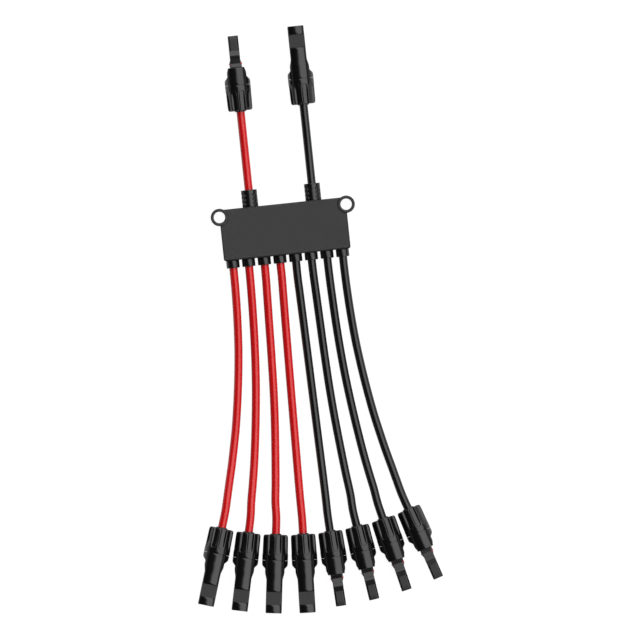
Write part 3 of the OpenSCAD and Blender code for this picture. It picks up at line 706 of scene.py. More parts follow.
def makeDimpleTree():
    # staggered round recesses in columns round a tube, none on its two seams
    tree, start, end = newGroup("dimpledBoot", "GeometryNodeTree", [
        ("Geometry", "NodeSocketGeometry", None), ("Columns", "NodeSocketInt", 12),
        ("Pitch", "NodeSocketFloat", 3.1), ("First", "NodeSocketFloat", 2.1), ("Last", "NodeSocketFloat", 11.0),
        ("Tube Radius", "NodeSocketFloat", 5.7), ("Radius", "NodeSocketFloat", 0.6),
        ("Depth", "NodeSocketFloat", 0.7), ("Finish", "NodeSocketMaterial", None)],
        [("Geometry", "NodeSocketGeometry")])
    spot = addNode(tree, "ShaderNodeSeparateXYZ", {0: tree.nodes.new("GeometryNodeInputPosition").outputs[0]})
    x, y, z = spot.outputs[0], spot.outputs[1], spot.outputs[2]
    tubeRadius = start.outputs["Tube Radius"]
    angle = calc(tree, "ARCTAN2", x, y)     # from the top
    share = calc(tree, "DIVIDE", calc(tree, "MULTIPLY", angle, start.outputs["Columns"]), 2 * math.pi)
    column = calc(tree, "ROUND", share)
    aside = calc(tree, "MULTIPLY", calc(tree, "SUBTRACT", share, column), calc(
        tree, "DIVIDE", calc(tree, "MULTIPLY", tubeRadius, 2 * math.pi), start.outputs["Columns"]))
    odd = calc(tree, "MULTIPLY", calc(tree, "FLOORED_MODULO", column, 2.0), 0.5)
    row = calc(tree, "SUBTRACT", calc(tree, "DIVIDE", calc(
        tree, "SUBTRACT", z, start.outputs["First"]), start.outputs["Pitch"]), odd)
    nearest = calc(tree, "MAXIMUM", calc(tree, "ROUND", row), 0.0)
    ahead = calc(tree, "MULTIPLY", calc(tree, "SUBTRACT", row, nearest), start.outputs["Pitch"])
    distance = calc(tree, "SQRT", calc(tree, "ADD", calc(tree, "MULTIPLY", aside, aside),
                                       calc(tree, "MULTIPLY", ahead, ahead)))
    reach = calc(tree, "DIVIDE", distance, start.outputs["Radius"])
    hollow = ramp(tree, reach, 0.42, 1.0, 1.0, 0.0)
    seamed = calc(tree, "GREATER_THAN", calc(tree, "ABSOLUTE", calc(tree, "SINE", calc(
        tree, "DIVIDE", calc(tree, "MULTIPLY", column, 2 * math.pi), start.outputs["Columns"]))), 0.1)
    centre = calc(tree, "ADD", start.outputs["First"], calc(
        tree, "MULTIPLY", calc(tree, "ADD", nearest, odd), start.outputs["Pitch"]))
    inside = calc(tree, "LESS_THAN", centre, start.outputs["Last"])
    radius = calc(tree, "SQRT", calc(tree, "ADD", calc(tree, "MULTIPLY", x, x), calc(tree, "MULTIPLY", y, y)))
    outer = calc(tree, "GREATER_THAN", radius, calc(tree, "SUBTRACT", tubeRadius, 0.05))
    sunk = calc(tree, "MULTIPLY", calc(tree, "MULTIPLY", hollow, seamed), calc(tree, "MULTIPLY", inside, outer))
    move = calc(tree, "DIVIDE", calc(tree, "MULTIPLY", sunk, start.outputs["Depth"]), radius)
    inward = addNode(tree, "ShaderNodeCombineXYZ", {
        "X": calc(tree, "MULTIPLY", x, calc(tree, "MULTIPLY", move, -1.0)),
        "Y": calc(tree, "MULTIPLY", y, calc(tree, "MULTIPLY", move, -1.0))})
    moved = addNode(tree, "GeometryNodeSetPosition", {
        "Geometry": start.outputs["Geometry"], "Offset": inward.outputs[0]})
    real = addNode(tree, "GeometryNodeRealizeInstances", {"Geometry": moved.outputs[0]})
    painted = addNode(tree, "GeometryNodeSetMaterial", {
        "Geometry": real.outputs[0], "Material": start.outputs["Finish"]})
    tree.links.new(painted.outputs[0], end.inputs["Geometry"])
    return tree


def makeBushes(settings):
    finish = finishes["bush_rubber"]
    # the bushes are drawn along Z with Y up; these turn Z to the lead's way out
    out = {side: Matrix(((-side, 0, 0), (0, 0, side), (0, 1, 0))).to_4x4() for side in (-1, 1)}
    plain = toMesh("grommet", *lathe(bushProfile(settings, settings["grommetRadius"], settings["grommetLength"], 0.55),
                                     evenAngles(56)))
    row = grow(makeRowTree(), tidyMesh(plain), {"Count": 8, "Pitch": settings["pitch"], "Finish": finish})
    place = Matrix.Translation((0, -settings["boxFace"] * mm, settings["axisHeight"] * mm)) @ out[-1]
    piece("branch-grommets", tidyMesh(row), finish, place, "harness", ["branch_grommets"])

    length = settings["bootLength"]
    tube = toMesh("boot", *lathe(bushProfile(
        settings, settings["bootRadius"], length, 0.4, np.arange(0.4, length - 0.4, 0.17)), evenAngles(216)))
    tree = makeDimpleTree()
    boot = grow(tree, tidyMesh(tube), {
        "Columns": settings["dimpleColumns"], "Pitch": settings["dimplePitch"],
        "First": length - settings["firstDimple"] - 3 * settings["dimplePitch"], "Last": length - 1.2,
        "Tube Radius": settings["bootRadius"], "Radius": settings["dimpleRadius"],
        "Depth": settings["dimpleDepth"], "Finish": finish})
    tidyMesh(boot, 50)
    for x, name in ((-settings["trunkX"], "red-trunk-boot"), (settings["trunkX"], "black-trunk-boot")):
        place = Matrix.Translation((x * mm, settings["boxFace"] * mm, settings["axisHeight"] * mm)) @ out[1]
        piece(name, boot, finish, place, "harness", ["trunk_boots"])
    print("bushes made:", len(row.polygons), "and", len(boot.polygons), "faces")


makeBushes(bushSettings)


# ---- gland nuts ----

nutSettings = {
    "radius": 9.2, "length": 18.4, "hole": 3.55, "boss": 4.05, "bossLength": 0.7, "threadBore": 7.08,
    "coneEnd": 6.0, "coneWide": 5.25, "coneNarrow": 4.3, "wall": 2.0,
    "flutes": 10, "depth": 1.05, "open": 15.5, "floor": 8.0, "end": 14.6, "roundEnd": 1.8, "turn": 13.5,
}


def makeFluteTree():
    # flutes round a turned nut; each ring's weight says how far it follows
    tree, start, end = newGroup("flutedNut", "GeometryNodeTree", [
        ("Geometry", "NodeSocketGeometry", None), ("Count", "NodeSocketInt", 10), ("Depth", "NodeSocketFloat", 0.8),
        ("Open Angle", "NodeSocketFloat", 12.5), ("Floor Angle", "NodeSocketFloat", 5.5),
        ("End", "NodeSocketFloat", 14.4), ("Round End", "NodeSocketFloat", 1.6), ("Turn", "NodeSocketFloat", 14.0),
        ("Finish", "NodeSocketMaterial", None)], [("Geometry", "NodeSocketGeometry")])
    spot = addNode(tree, "ShaderNodeSeparateXYZ", {0: tree.nodes.new("GeometryNodeInputPosition").outputs[0]})
    x, y, z = spot.outputs[0], spot.outputs[1], spot.outputs[2]
    weight = addNode(tree, "GeometryNodeInputNamedAttribute", {"Name": "fluteWeight"}, data_type="FLOAT").outputs[0]
    angle = calc(tree, "SUBTRACT", calc(tree, "DEGREES", calc(tree, "ARCTAN2", x, y)), start.outputs["Turn"])
    period = calc(tree, "DIVIDE", 360.0, start.outputs["Count"])
    turns = calc(tree, "DIVIDE", angle, period)
    off = calc(tree, "ABSOLUTE", calc(tree, "MULTIPLY", calc(tree, "SUBTRACT", turns, calc(
        tree, "ROUND", turns)), period))
    late = calc(tree, "DIVIDE", calc(tree, "SUBTRACT", z, calc(
        tree, "SUBTRACT", start.outputs["End"], start.outputs["Round End"])), start.outputs["Round End"], clamp=True)
    narrow = calc(tree, "SQRT", calc(tree, "SUBTRACT", 1.0001, calc(tree, "MULTIPLY", late, late)))
    aside = calc(tree, "DIVIDE", off, narrow)
    hollow = addNode(tree, "ShaderNodeMapRange", {
        "Value": aside, "From Min": start.outputs["Floor Angle"], "From Max": start.outputs["Open Angle"],
        "To Min": 1.0, "To Max": 0.0}, interpolation_type="SMOOTHSTEP").outputs["Result"]
    rise = ramp(tree, z, 8.0, 14.6, 1.0, 0.42)
    before = calc(tree, "LESS_THAN", z, start.outputs["End"])
    deep = calc(tree, "MULTIPLY", calc(tree, "MULTIPLY", hollow, rise), calc(tree, "MULTIPLY", before, weight))
    radius = calc(tree, "SQRT", calc(tree, "ADD", calc(tree, "MULTIPLY", x, x), calc(tree, "MULTIPLY", y, y)))
    move = calc(tree, "MULTIPLY", calc(tree, "DIVIDE", calc(
        tree, "MULTIPLY", deep, start.outputs["Depth"]), radius), -1.0)
    inward = addNode(tree, "ShaderNodeCombineXYZ", {
        "X": calc(tree, "MULTIPLY", x, move), "Y": calc(tree, "MULTIPLY", y, move)})
    moved = addNode(tree, "GeometryNodeSetPosition", {
        "Geometry": start.outputs["Geometry"], "Offset": inward.outputs[0]})
    real = addNode(tree, "GeometryNodeRealizeInstances", {"Geometry": moved.outputs[0]})
    painted = addNode(tree, "GeometryNodeSetMaterial", {
        "Geometry": real.outputs[0], "Material": start.outputs["Finish"]})
    tree.links.new(painted.outputs[0], end.inputs["Geometry"])
    return tree


def makeNuts(settings):
    r = settings["radius"]
    rear = fillet([[settings["hole"], -settings["bossLength"], 0.15], [settings["boss"], -settings["bossLength"], 0.3],
                   [settings["boss"], 0], [r - 1.6, 0, 0.5], [r - 0.75, 0.35, 0.6], [r - 0.35, 1.2, 1.0],
                   [r - 0.2, 3]], steps=3)
    rear[0] = (settings["hole"], -settings["bossLength"] + 0.15)
    stations = [4, 5, 6, 7, 8, 9, 10, 10.8, 11.5, 12, 12.4, 12.8, 13.1, 13.35, 13.6, 13.8, 14, 14.15, 14.28, 14.38,
                14.42, 14.6, 15.2]
    wall = [[np.interp(z, [3, 15.2], [r - 0.2, r]), z] for z in stations]
    front = [[r, 16.5], [r, 18.27], [r - 0.04, 18.36], [r - 0.13, 18.4], [settings["threadBore"] + 0.4, 18.4],
             [settings["threadBore"], 18.0], [settings["threadBore"], 12], [settings["threadBore"], settings["coneEnd"]],
             [settings["coneWide"], settings["coneEnd"]], [settings["coneNarrow"], settings["wall"]],
             [settings["hole"], settings["wall"]]]
    profile = np.array([*rear.tolist(), *wall, *front])
    step = 360 / settings["flutes"]
    half = [0, 2.5, 4.8, 6.2, 7.4, 8.1, 8.9, 9.7, 10.5, 11.3, 12.1, 12.9, 13.7, 14.5, 15.3, 16.6]
    offsets = [-18, *(-a for a in half[:0:-1]), *half]
    tree = makeFluteTree()
    for way, turn in ((1, settings["turn"]), (-1, -settings["turn"])):
        angles = [90 - turn + k * step + offset for k in range(settings["flutes"]) for offset in offsets]
        points, faces = lathe(profile, angles)
        mesh = toMesh("nut", points, faces)
        weights = mesh.attributes.new("fluteWeight", "FLOAT", "POINT")
        radii = np.hypot(points[:, 0], points[:, 1])
        follow = np.clip((radii - 7.0) / (r - 0.2 - 7.0), 0, 1) * (points[:, 2] < 15)
        weights.data.foreach_set("value", follow.astype(np.float32))
        made = grow(tree, mesh, {
            "Count": settings["flutes"], "Depth": settings["depth"], "Open Angle": settings["open"],
            "Floor Angle": settings["floor"], "End": settings["end"], "Round End": settings["roundEnd"],
            "Turn": float(turn), "Finish": finishes["nut_plastic"]})
        tidyMesh(made, 48)
        for (kind, number), place in places.items():
            if (number == 5) == (way < 0):
                cords[kind, number].setdefault("with", []).append(piece(
                    f"{kind}-gland-nut-{number}", made, finishes["nut_plastic"], place,
                    f"{kind}_nut_body_{number}", [f"{kind}_gland_nut_{number}"]))
    print("nuts made:", len(made.polygons), "faces each")


makeNuts(nutSettings)


# ---- housings ----

housingSettings = {
    "stubStart": 7.2, "threadRadius": 7.0, "threadPitch": 2.0, "threadDepth": 0.45, "threadEnd": 17.2,
    "collarRadius": 9.2, "collarStart": 18.5, "collarEnd": 20.3, "bodyHalf": 6.95, "coneEnd": 24.3,
    "bodyEnd": 27.5, "chamber": (5.18, 16.5), "contactBore": (3.1, 28.5), "stemBore": 2.55,
    "bodyHeight": 18.2, "sleeveStart": 32.0, "sleeveEnd": 56.2, "sleeveHalf": 5.8, "sleeveHeight": 17.8, "frontHalf": 6.0,
    "cornerSharpness": 26,
    "window": (41.0, 50.0), "windowFloor": 5.2, "windowSlope": 0.45,
    "channelHalf": 3.7, "channelTop": 6.75, "cavityHalf": 3.85, "cavityRound": 1.65, "cavityStart": 33.2,
    "sealBore": (4.65, 50.6), "noseStart": 31.0, "noseEnd": 53.8, "noseHalf": 3.7, "noseCut": 1.05,
    "spoolRadius": 4.45, "spoolEnd": 34.6, "taperEnd": 36.4,
    "groove": (32.9, 34.3), "grooveRadius": 3.4, "entry": 2.2, "socketEnd": 52.85,
    "hinge": (29.9, 5.65, 0.83, 3.18, 0.45),
}


def flatSided(angles, half, height, sharpness=26):
    # a round section with two flat sides and soft corners, as radii
    side = half / np.maximum(np.abs(np.cos(angles)), 1e-9)
    return (side ** -sharpness + (height / 2) ** -sharpness) ** (-1 / sharpness)


def roundSquare(angles, half, r):
    c, s = np.abs(np.cos(angles)), np.abs(np.sin(angles))
    inner = half - r
    flat = half / np.maximum(np.maximum(c, s), 1e-9)
    b = inner * (c + s)
    corner = b + np.sqrt(np.maximum(b * b - 2 * inner * inner + r * r, 0))
    low = np.minimum(c, s) * flat
    return np.where(low <= inner, flat, corner)


def cutSquare(angles, half, cut, sharpness=90):
    # a square with its corners cut off, as radii
    c, s = np.abs(np.cos(angles)), np.abs(np.sin(angles))
    flat = half / np.maximum(np.maximum(c, s), 1e-9)
    slanted = (2 * half - cut) / (c + s)
    return (flat ** -sharpness + slanted ** -sharpness) ** (-1 / sharpness)


def ringAt(angles, radii, z):
    return np.stack([radii * np.cos(angles), radii * np.sin(angles), np.full(len(angles), float(z))], axis=1)


def makeThreadTree():
    # cuts a screw thread into a turned stub
    tree, start, end = newGroup("screwThread", "GeometryNodeTree", [
        ("Geometry", "NodeSocketGeometry", None), ("Pitch", "NodeSocketFloat", 2.0), ("Depth", "NodeSocketFloat", 0.45),
        ("Major Radius", "NodeSocketFloat", 7.0), ("End", "NodeSocketFloat", 17.2),
        ("Finish", "NodeSocketMaterial", None)], [("Geometry", "NodeSocketGeometry")])
    spot = addNode(tree, "ShaderNodeSeparateXYZ", {0: tree.nodes.new("GeometryNodeInputPosition").outputs[0]})
    x, y, z = spot.outputs[0], spot.outputs[1], spot.outputs[2]
    share = calc(tree, "FRACT", calc(tree, "ADD", calc(tree, "DIVIDE", z, start.outputs["Pitch"]), calc(
        tree, "DIVIDE", calc(tree, "ARCTAN2", y, x), 2 * math.pi)))
    off = calc(tree, "ABSOLUTE", calc(tree, "SUBTRACT", share, 0.5))
    root = ramp(tree, off, 0.18, 0.34, 1.0, 0.0, smooth=False)
    fade = calc(tree, "MULTIPLY", ramp(tree, z, 7.9, 8.6), ramp(
        tree, calc(tree, "SUBTRACT", start.outputs["End"], z), 0.0, 0.7))
    radius = calc(tree, "SQRT", calc(tree, "ADD", calc(tree, "MULTIPLY", x, x), calc(tree, "MULTIPLY", y, y)))
    onStub = calc(tree, "COMPARE", radius, start.outputs["Major Radius"], 0.02)
    deep = calc(tree, "MULTIPLY", calc(tree, "MULTIPLY", root, fade), calc(
        tree, "MULTIPLY", onStub, start.outputs["Depth"]))
    move = calc(tree, "MULTIPLY", calc(tree, "DIVIDE", deep, radius), -1.0)
    inward = addNode(tree, "ShaderNodeCombineXYZ", {
        "X": calc(tree, "MULTIPLY", x, move), "Y": calc(tree, "MULTIPLY", y, move)})
    moved = addNode(tree, "GeometryNodeSetPosition", {
        "Geometry": start.outputs["Geometry"], "Offset": inward.outputs[0]})
    real = addNode(tree, "GeometryNodeRealizeInstances", {"Geometry": moved.outputs[0]})
    painted = addNode(tree, "GeometryNodeSetMaterial", {
        "Geometry": real.outputs[0], "Material": start.outputs["Finish"]})
    tree.links.new(painted.outputs[0], end.inputs["Geometry"])
    return tree


def rearRings(settings, angles):
    # threaded stub, shoulder and flat-sided body that both kinds share
    full = np.ones(len(angles))
    major, wide, edge = settings["threadRadius"], settings["collarRadius"], settings["cornerSharpness"]
    start, end = settings["collarStart"], settings["collarEnd"]
    rings = [(settings["stubStart"], major - 0.5), (settings["stubStart"] + 0.5, major)]
    rings += [(z, major) for z in np.arange(7.85, start - 0.1, 0.125)]
    rings += [(start, major), (start, wide - 0.13), (start + 0.04, wide - 0.04), (start + 0.13, wide), (end - 0.3, wide)]
    rings = [(z, full * r) for z, r in rings]
    half, height = settings["bodyHalf"], settings["bodyHeight"]
    for t in (0.0, 0.06, 0.14, 0.24, 0.36, 0.48, 0.6, 0.72, 0.84, 0.93, 1.0):
        z = end + (settings["coneEnd"] + 0.3 - end) * t
        ease = t * t * (3 - 2 * t) * 0.35 + t * 0.65
        now = wide * 1.16 + (half - wide * 1.16) * ease
        rings.append((z, np.minimum(flatSided(angles, now, 2 * wide + (height - 2 * wide) * t, edge), wide)))
    return rings + [(z, flatSided(angles, half, height, edge)) for z in (25.4, 26.3)]


def bodyTaper(settings, angles, front, half, height):
    # the body drawn in to a narrower front section
    edge, rings = settings["cornerSharpness"], []
    for t in (0.0, 0.08, 0.2, 0.35, 0.5, 0.65, 0.8, 0.92, 1.0):
        ease = t * t * (3 - 2 * t) * 0.5 + t * 0.5
        rings.append((settings["bodyEnd"] - 0.4 + (front - settings["bodyEnd"] + 0.4) * t, flatSided(
            angles, settings["bodyHalf"] + (half - settings["bodyHalf"]) * ease,
            settings["bodyHeight"] + (height - settings["bodyHeight"]) * ease, edge)))
    return rings


def pinRings(settings, angles):
    half, height, edge = settings["sleeveHalf"], settings["sleeveHeight"], settings["cornerSharpness"]
    first, last = settings["window"]
    slope, floor = settings["windowSlope"], settings["windowFloor"]
    rings = rearRings(settings, angles) + bodyTaper(settings, angles, settings["sleeveStart"] + 0.5, half, height)
    full = flatSided(angles, half, height, edge)
    inset = flatSided(angles, half, height - 0.2, edge)
    clip = np.minimum(full, floor / np.maximum(np.abs(np.sin(angles)), 1e-9))
    low = np.minimum(full, (floor + 0.25) / np.maximum(np.abs(np.sin(angles)), 1e-9))
    rings += [(z, full) for z in (34, 36, 38, 39.4)]
    rings += [(first - slope - 0.2, full), (first - slope, inset), (first - 0.12, low), (first, clip), (44, clip),
              (47, clip), (last, clip), (last + 0.1, low), (last + slope * 0.6, inset), (last + slope * 0.6 + 0.2, full)]
    rings += [(z, full) for z in (52, 54, 55.6)]
    end = settings["sleeveEnd"]
    rings += [(end - 0.16, flatSided(angles, half - 0.08, height - 0.16, edge)),
              (end, flatSided(angles, half - 0.3, height - 0.6, edge))]
    return rings


def socketRings(settings, angles):
    height, edge = settings["bodyHeight"], settings["cornerSharpness"]
    start, half, corner = settings["noseStart"], settings["noseHalf"], settings["noseCut"]
    front = settings["frontHalf"]
    rings = rearRings(settings, angles) + bodyTaper(settings, angles, start - 0.3, front, height)
    rings += [(start - 0.12, flatSided(angles, front - 0.1, height - 0.2, edge)),
              (start, flatSided(angles, front - 0.35, height - 0.7, edge))]
    square = cutSquare(angles, half, corner)
    spool = np.maximum(square, settings["spoolRadius"])
    groove = np.full(len(angles), settings["grooveRadius"])
    g0, g1 = settings["groove"]
    rings += [(start, spool), (g0 - 0.1, spool), (g0, spool - 0.1), (g0, groove), (g1, groove), (g1, spool - 0.1),
              (settings["spoolEnd"] - 0.12, spool), (settings["spoolEnd"], spool - 0.03)]
    for t in (0.25, 0.5, 0.75, 1.0):
        z = settings["spoolEnd"] + (settings["taperEnd"] - settings["spoolEnd"]) * t
        rings.append((z, np.maximum(square, settings["spoolRadius"] + (half - settings["spoolRadius"]) * t)))
    end = settings["noseEnd"]
    rings += [(z, square) for z in (38, 41, 44, 47, 50, end - 0.6)]
    rings += [(end - 0.25, cutSquare(angles, half - 0.06, corner)), (end - 0.07, cutSquare(angles, half - 0.2, corner)),
              (end, cutSquare(angles, half - 0.42, corner))]
    return rings


def prism(outline, z0, z1):
    rings = [np.array([[x, y, z] for x, y in outline]) for z in (z0, z1)]
    return toMesh("prism", *loft(rings))


def makeHousings(settings):
    floor = settings["windowFloor"]
    corner = math.degrees(math.atan2(floor, settings["sleeveHalf"]))
    quarter = sorted({*np.arange(0, 30, 5.0), *np.arange(30, 60, 1.5), *np.arange(60, 90, 3.0), corner - 0.5, corner,
                      corner + 0.5})
    degrees = sorted({round(v % 360, 3) for q in quarter for v in (q, 180 - q, 180 + q, 360 - q)} | {90.0, 270.0})
    angles = np.radians(degrees)
    tree = makeThreadTree()
    start, end = settings["stubStart"], settings["sleeveEnd"]
    (chamber, chamberEnd), (bore, boreEnd) = settings["chamber"], settings["contactBore"]
    hollowEnds = {"pin": settings["cavityStart"] + 1, "socket": settings["noseEnd"] + 1}
    for kind, ringsOf in (("pin", pinRings), ("socket", socketRings)):
        rings = [ringAt(angles, radii, z) for z, radii in ringsOf(settings, angles)]
        solid = grow(tree, toMesh(kind, *loft(rings)), {
            "Pitch": settings["threadPitch"], "Depth": settings["threadDepth"],
            "Major Radius": settings["threadRadius"], "End": settings["threadEnd"],
            "Finish": finishes["coupler_plastic"]})
        stem = settings["stemBore"]
        outline = [(0, start - 1), (chamber, start - 1), (chamber, chamberEnd), (bore, chamberEnd),
                   (bore, boreEnd), (stem, boreEnd), (stem, hollowEnds[kind]), (0, hollowEnds[kind])]
        if kind == "socket":
            outline[-2:] = [(stem, settings["socketEnd"]), (settings["entry"], settings["socketEnd"]),
                            (settings["entry"], settings["noseEnd"] - 0.25),
                            (settings["entry"] + 0.3, settings["noseEnd"] + 0.05),
                            (settings["entry"] + 0.3, settings["noseEnd"] + 1), (0, settings["noseEnd"] + 1)]
        cutters = [toMesh("bores", *shaft(outline, 64))]
        if kind == "pin":
            spread = np.radians(evenAngles(72))
            half, r = settings["cavityHalf"], settings["cavityRound"]
            cavity = [ringAt(spread, roundSquare(spread, half, r), z) for z in (settings["cavityStart"], end + 1)]
            seal, sealStart = settings["sealBore"]
            cutters += [toMesh("cavity", *loft(cavity)), toMesh("seal bore", *shaft([
                (0, sealStart), (seal, sealStart), (seal, end - 0.35), (seal + 0.35, end + 0.02),
                (seal + 0.35, end + 1), (0, end + 1)], 72))]
            w, top = settings["channelHalf"], settings["channelTop"]
            for side in (1, -1):
                low, high = sorted((side * floor, side * top))
                cutters.append(boxMesh((-w, low, settings["window"][1] - 0.6), (w, high, end + 1)))
        else:
            at, height, radius, halfWidth, halfSlot = settings["hinge"]
            for side in (1, -1):
                seat = [(at + radius * math.cos(a), side * height + radius * math.sin(a)) for a in np.radians(evenAngles(32))]
                rings = [np.array([[x, y, z] for z, y in seat]) for x in (-halfWidth, halfWidth)]
                cutters.append(toMesh("hinge seat", *loft(rings)))
                cutters.append(boxMesh((-halfWidth, side * height - halfSlot, at),
                                       (halfWidth, side * height + halfSlot, settings["noseStart"] + 0.01)))
        for cutter in cutters:
            tidyMesh(cutter)
        made = tidyMesh(carve(kind, tidyMesh(solid), cutters), 38)
        for number in range(1, 6):
            cords[kind, number].setdefault("with", []).append(piece(
                f"{kind}-housing-{number}", made, finishes["coupler_plastic"], places[kind, number], "harness",
                [f"{kind}_housing_{number}"]))
        print(kind, "housings made:", len(made.polygons), "faces each")


makeHousings(housingSettings)


# ---- latch arms, sealing rings and contacts ----

latchSettings = {
    "face": 31.0, "width": 7.2, "edge": 0.3, "hingeAt": 1.1, "hingeHeight": 5.65, "hingeRadius": 0.75,
    "hingeWidth": 6.2, "neck": 0.6,
    "outline": [(0.2, 5.3), (0.2, 6.75), (2.8, 6.15), (6.4, 6.55), (6.4, 6.9), (8.6, 7.2), (12.1, 6.5), (12.1, 6.0)],
}


def makeLatches(settings):
    face, half = settings["face"], settings["width"] / 2
    corners = fillet([(z, y, r) for (z, y), r in zip(settings["outline"], (0.15, 0.3, 1.5, 0.1, 0.12, 0.6, 0.25, 0.15))],
                     steps=3, closed=True)
    rings = []
    for x, inset in ((-half, settings["edge"]), (-half + 0.09, 0.09), (-half + settings["edge"], 0),
                     (half - settings["edge"], 0), (half - 0.09, 0.09), (half, settings["edge"])):
        ring = []
        for i, (z, y) in enumerate(corners):
            along = corners[(i + 1) % len(corners)] - corners[i - 1]
            normal = np.array([along[1], -along[0]]) / np.linalg.norm(along)
            z2, y2 = np.array([z, y]) + normal * inset * 0.5
            ring.append([x, y2, face + z2])
        rings.append(np.array(ring))
    arm = toMesh("arm", *loft(rings))
    barrel = np.radians(evenAngles(32))
    seat = [(face - settings["hingeAt"] + settings["hingeRadius"] * math.cos(a),
             settings["hingeHeight"] + settings["hingeRadius"] * math.sin(a)) for a in barrel]
    w = settings["hingeWidth"] / 2
    root = toMesh("root", *loft([np.array([[x, y, z] for z, y in seat]) for x in (-w, w)]))
    neck = boxMesh((-w, settings["hingeHeight"] - settings["neck"] / 2, face - settings["hingeAt"]),
                   (w, settings["hingeHeight"] + settings["neck"] / 2, face + 0.5))
    work = bmesh.new()
    for part in (arm, root, neck):
        work.from_mesh(tidyMesh(part))
    whole = bpy.data.meshes.new("latch")
    work.to_mesh(whole)
    work.free()
    whole.shade_smooth()
    whole.set_sharp_from_angle(angle=math.radians(40))
    whole = evenNormals(whole)
    turned = Matrix.Rotation(math.pi, 4, "Z")
    for number in range(1, 6):
        for level, turn in (("upper", Matrix.Identity(4)), ("lower", turned)):
            cords["socket", number]["with"].append(piece(
                f"{level}-latch-{number}", whole, finishes["coupler_plastic"], places["socket", number] @ turn,
                f"{level}_latch_body_{number}", [f"{level}_latch_{number}"]))
    print("latches made:", len(whole.polygons), "faces each")


makeLatches(latchSettings)

contactSettings = {
    "barrel": (2.2, 18.05), "flange": (3.0, 27.0, 28.5), "stem": 2.5, "crimps": (20.5, 23.5), "crimpDepth": 0.25,
    "pinRadius": 2.0, "pinStart": 33.2, "pinTip": 50.4, "bore": 2.03, "boreStart": 35.0, "socketEnd": 52.8,
    "slot": 0.25, "slotLength": 8.0, "ringMiddle": 33.6, "ringRadius": 4.1, "ringThick": 0.69,
}


def makeContacts(settings):
    radius, start = settings["barrel"]
    flange, flangeStart, flangeEnd = settings["flange"]
    rear = [(0, start), (radius - 0.2, start), (radius, start + 0.2)]
    for middle in settings["crimps"]:       # pressed bands
        dent = radius - settings["crimpDepth"]
        rear += [(radius, middle - 0.9), (dent, middle - 0.6), (dent, middle + 0.6), (radius, middle + 0.9)]
    rear += [(radius, flangeStart), (flange - 0.15, flangeStart), (flange, flangeStart + 0.15), (flange, flangeEnd - 0.15),
             (flange - 0.15, flangeEnd), (settings["stem"], flangeEnd)]
    tip, pin = settings["pinTip"], settings["pinRadius"]
    pinOutline = rear + [(settings["stem"], settings["pinStart"]), (pin + 0.1, settings["pinStart"]),
                         (pin, settings["pinStart"] + 0.1), (pin, tip - 1.5), (pin - 0.12, tip - 1.0),
                         (pin - 0.42, tip - 0.4), (pin - 0.85, tip - 0.07), (pin - 1.2, tip), (0, tip)]
    end, bore, stem = settings["socketEnd"], settings["bore"], settings["stem"]
    socketOutline = rear + [(stem, end - 0.15), (stem - 0.1, end), (bore + 0.2, end), (bore, end - 0.2),
                            (bore, settings["boreStart"] + 0.6), (0.2, settings["boreStart"]), (0, settings["boreStart"])]
    pinMesh = tidyMesh(toMesh("pin", *shaft(pinOutline, 48)), 40)
    socketMesh = tidyMesh(toMesh("socket", *shaft(socketOutline, 64)), 40)
    slots = []
    for turn in (45, 135):
        cutter = boxMesh((-stem - 1, -settings["slot"], end - settings["slotLength"]), (stem + 1, settings["slot"], end + 1))
        cutter.transform(Matrix.Rotation(math.radians(turn), 4, "Z"))
        slots.append(cutter)
    socketMesh = tidyMesh(carve("socket contact", socketMesh, slots), 40)
    section = [(settings["ringRadius"] + settings["ringThick"] * math.cos(a),
                settings["ringMiddle"] + settings["ringThick"] * math.sin(a)) for a in np.radians(evenAngles(20))]
    ringMesh = tidyMesh(toMesh("ring", *lathe(section, evenAngles(72))), 60)
    for number in range(1, 6):
        for kind, mesh in (("pin", pinMesh), ("socket", socketMesh)):
            cords[kind, number]["with"].append(piece(
                f"{kind}-contact-{number}", mesh, finishes["tinned_copper"], places[kind, number], "harness",
                [f"{kind}_contacts"]))
        cords["socket", number]["with"].append(piece(
            f"nose-ring-{number}", ringMesh, finishes["ring_rubber"], places["socket", number], "harness",
            ["nose_rings"]))
    print("contacts made:", len(pinMesh.polygons), len(socketMesh.polygons), "faces; ring", len(ringMesh.polygons))


makeContacts(contactSettings)

# ---- studio ----

studioSettings = {
    "floor": 8.0, "floorTone": 0.8, "paleCamera": 0.9, "paleGloss": 0.08, "paleStrength": 1.08,
    "light": 2.45, "slant": 0.5, "nearEdge": (-9, 9), "farEdge": (54, 64), "dark": 0.03, "glow": 0.5,
    "glowRise": (0.03, 0.12), "glowFall": (0.2, 0.36),
}


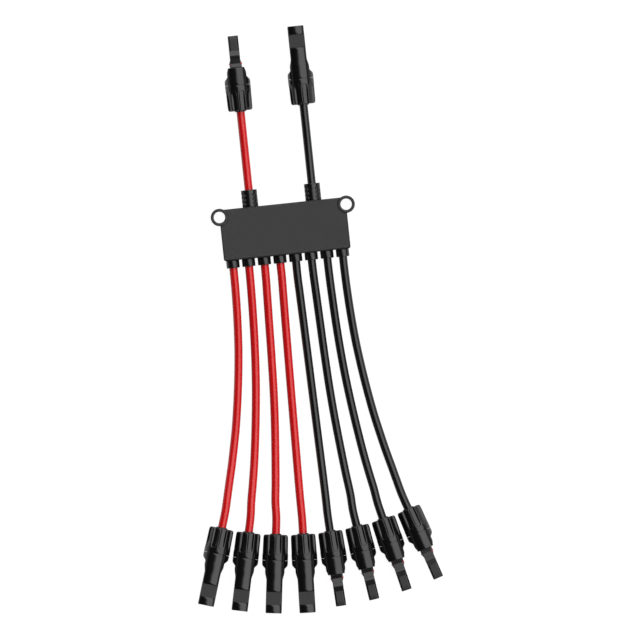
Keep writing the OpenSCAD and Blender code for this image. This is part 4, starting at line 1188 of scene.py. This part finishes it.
def makeFloor(settings):
    half = settings["floor"] / 2
    mesh = toMesh("floor", [(-half, -half, -0.0003), (half, -half, -0.0003), (half, half, -0.0003), (-half, half, -0.0003)],
                  [(0, 1, 2, 3)])
    floor = bpy.data.objects.new("floor", mesh)
    bpy.context.collection.objects.link(floor)
    material, tree, shader = startMaterial("pale floor")
    shader.inputs["Base Color"].default_value = (settings["floorTone"],) * 3 + (1,)
    shader.inputs["Roughness"].default_value = 0.9
    shader.inputs["Specular IOR Level"].default_value = 0.0
    rays = tree.nodes.new("ShaderNodeLightPath")
    mirrored = calc(tree, "MAXIMUM", rays.outputs["Is Glossy Ray"], rays.outputs["Is Transmission Ray"])
    share = calc(tree, "ADD", calc(tree, "MULTIPLY", rays.outputs["Is Camera Ray"], settings["paleCamera"]),
                 calc(tree, "MULTIPLY", mirrored, settings["paleGloss"]))
    pale = addNode(tree, "ShaderNodeEmission", {"Color": (1, 1, 1, 1), "Strength": settings["paleStrength"]})
    blend = addNode(tree, "ShaderNodeMixShader", {0: share, 1: shader.outputs[0], 2: pale.outputs[0]})
    output = [n for n in tree.nodes if n.type == "OUTPUT_MATERIAL"][0]
    tree.links.new(blend.outputs[0], output.inputs["Surface"])
    mesh.materials.append(material)


def makeStudio(settings):
    # a very large soft light overhead on one side, as a part of the sky
    makeFloor(settings)
    world = bpy.data.worlds.new("studio")
    bpy.context.scene.world = world
    world.use_nodes = True
    tree = world.node_tree
    tree.nodes.clear()
    way = addNode(tree, "ShaderNodeSeparateXYZ", {0: tree.nodes.new("ShaderNodeTexCoord").outputs["Generated"]})
    x, y, z = way.outputs[0], way.outputs[1], way.outputs[2]
    across = calc(tree, "DEGREES", calc(tree, "ARCTAN2", x, z))
    along = calc(tree, "DEGREES", calc(tree, "ARCTAN2", y, z))
    near = calc(tree, "ADD", across, calc(tree, "MULTIPLY", along, settings["slant"]))
    lit = calc(tree, "MULTIPLY", ramp(tree, near, *settings["nearEdge"]),
               ramp(tree, across, *settings["farEdge"], 1.0, 0.0))
    above = calc(tree, "GREATER_THAN", z, 0.0)
    soft = calc(tree, "MULTIPLY", calc(tree, "MULTIPLY", lit, above), settings["light"])
    band = calc(tree, "MULTIPLY", ramp(tree, z, *settings["glowRise"]), ramp(tree, z, *settings["glowFall"], 1.0, 0.0))
    glow = calc(tree, "MAXIMUM", calc(tree, "MULTIPLY", band, settings["glow"]), settings["dark"])
    sky = addNode(tree, "ShaderNodeBackground", {"Color": calc(tree, "MAXIMUM", soft, glow), "Strength": 1.0})
    white = addNode(tree, "ShaderNodeBackground", {"Color": (1, 1, 1, 1), "Strength": 1.0})
    seen = tree.nodes.new("ShaderNodeLightPath").outputs["Is Camera Ray"]
    blend = addNode(tree, "ShaderNodeMixShader", {0: seen, 1: sky.outputs[0], 2: white.outputs[0]})
    addNode(tree, "ShaderNodeOutputWorld", {"Surface": blend.outputs[0]})
    bpy.context.scene.view_settings.view_transform = "Standard"


makeStudio(studioSettings)
print("studio lit")
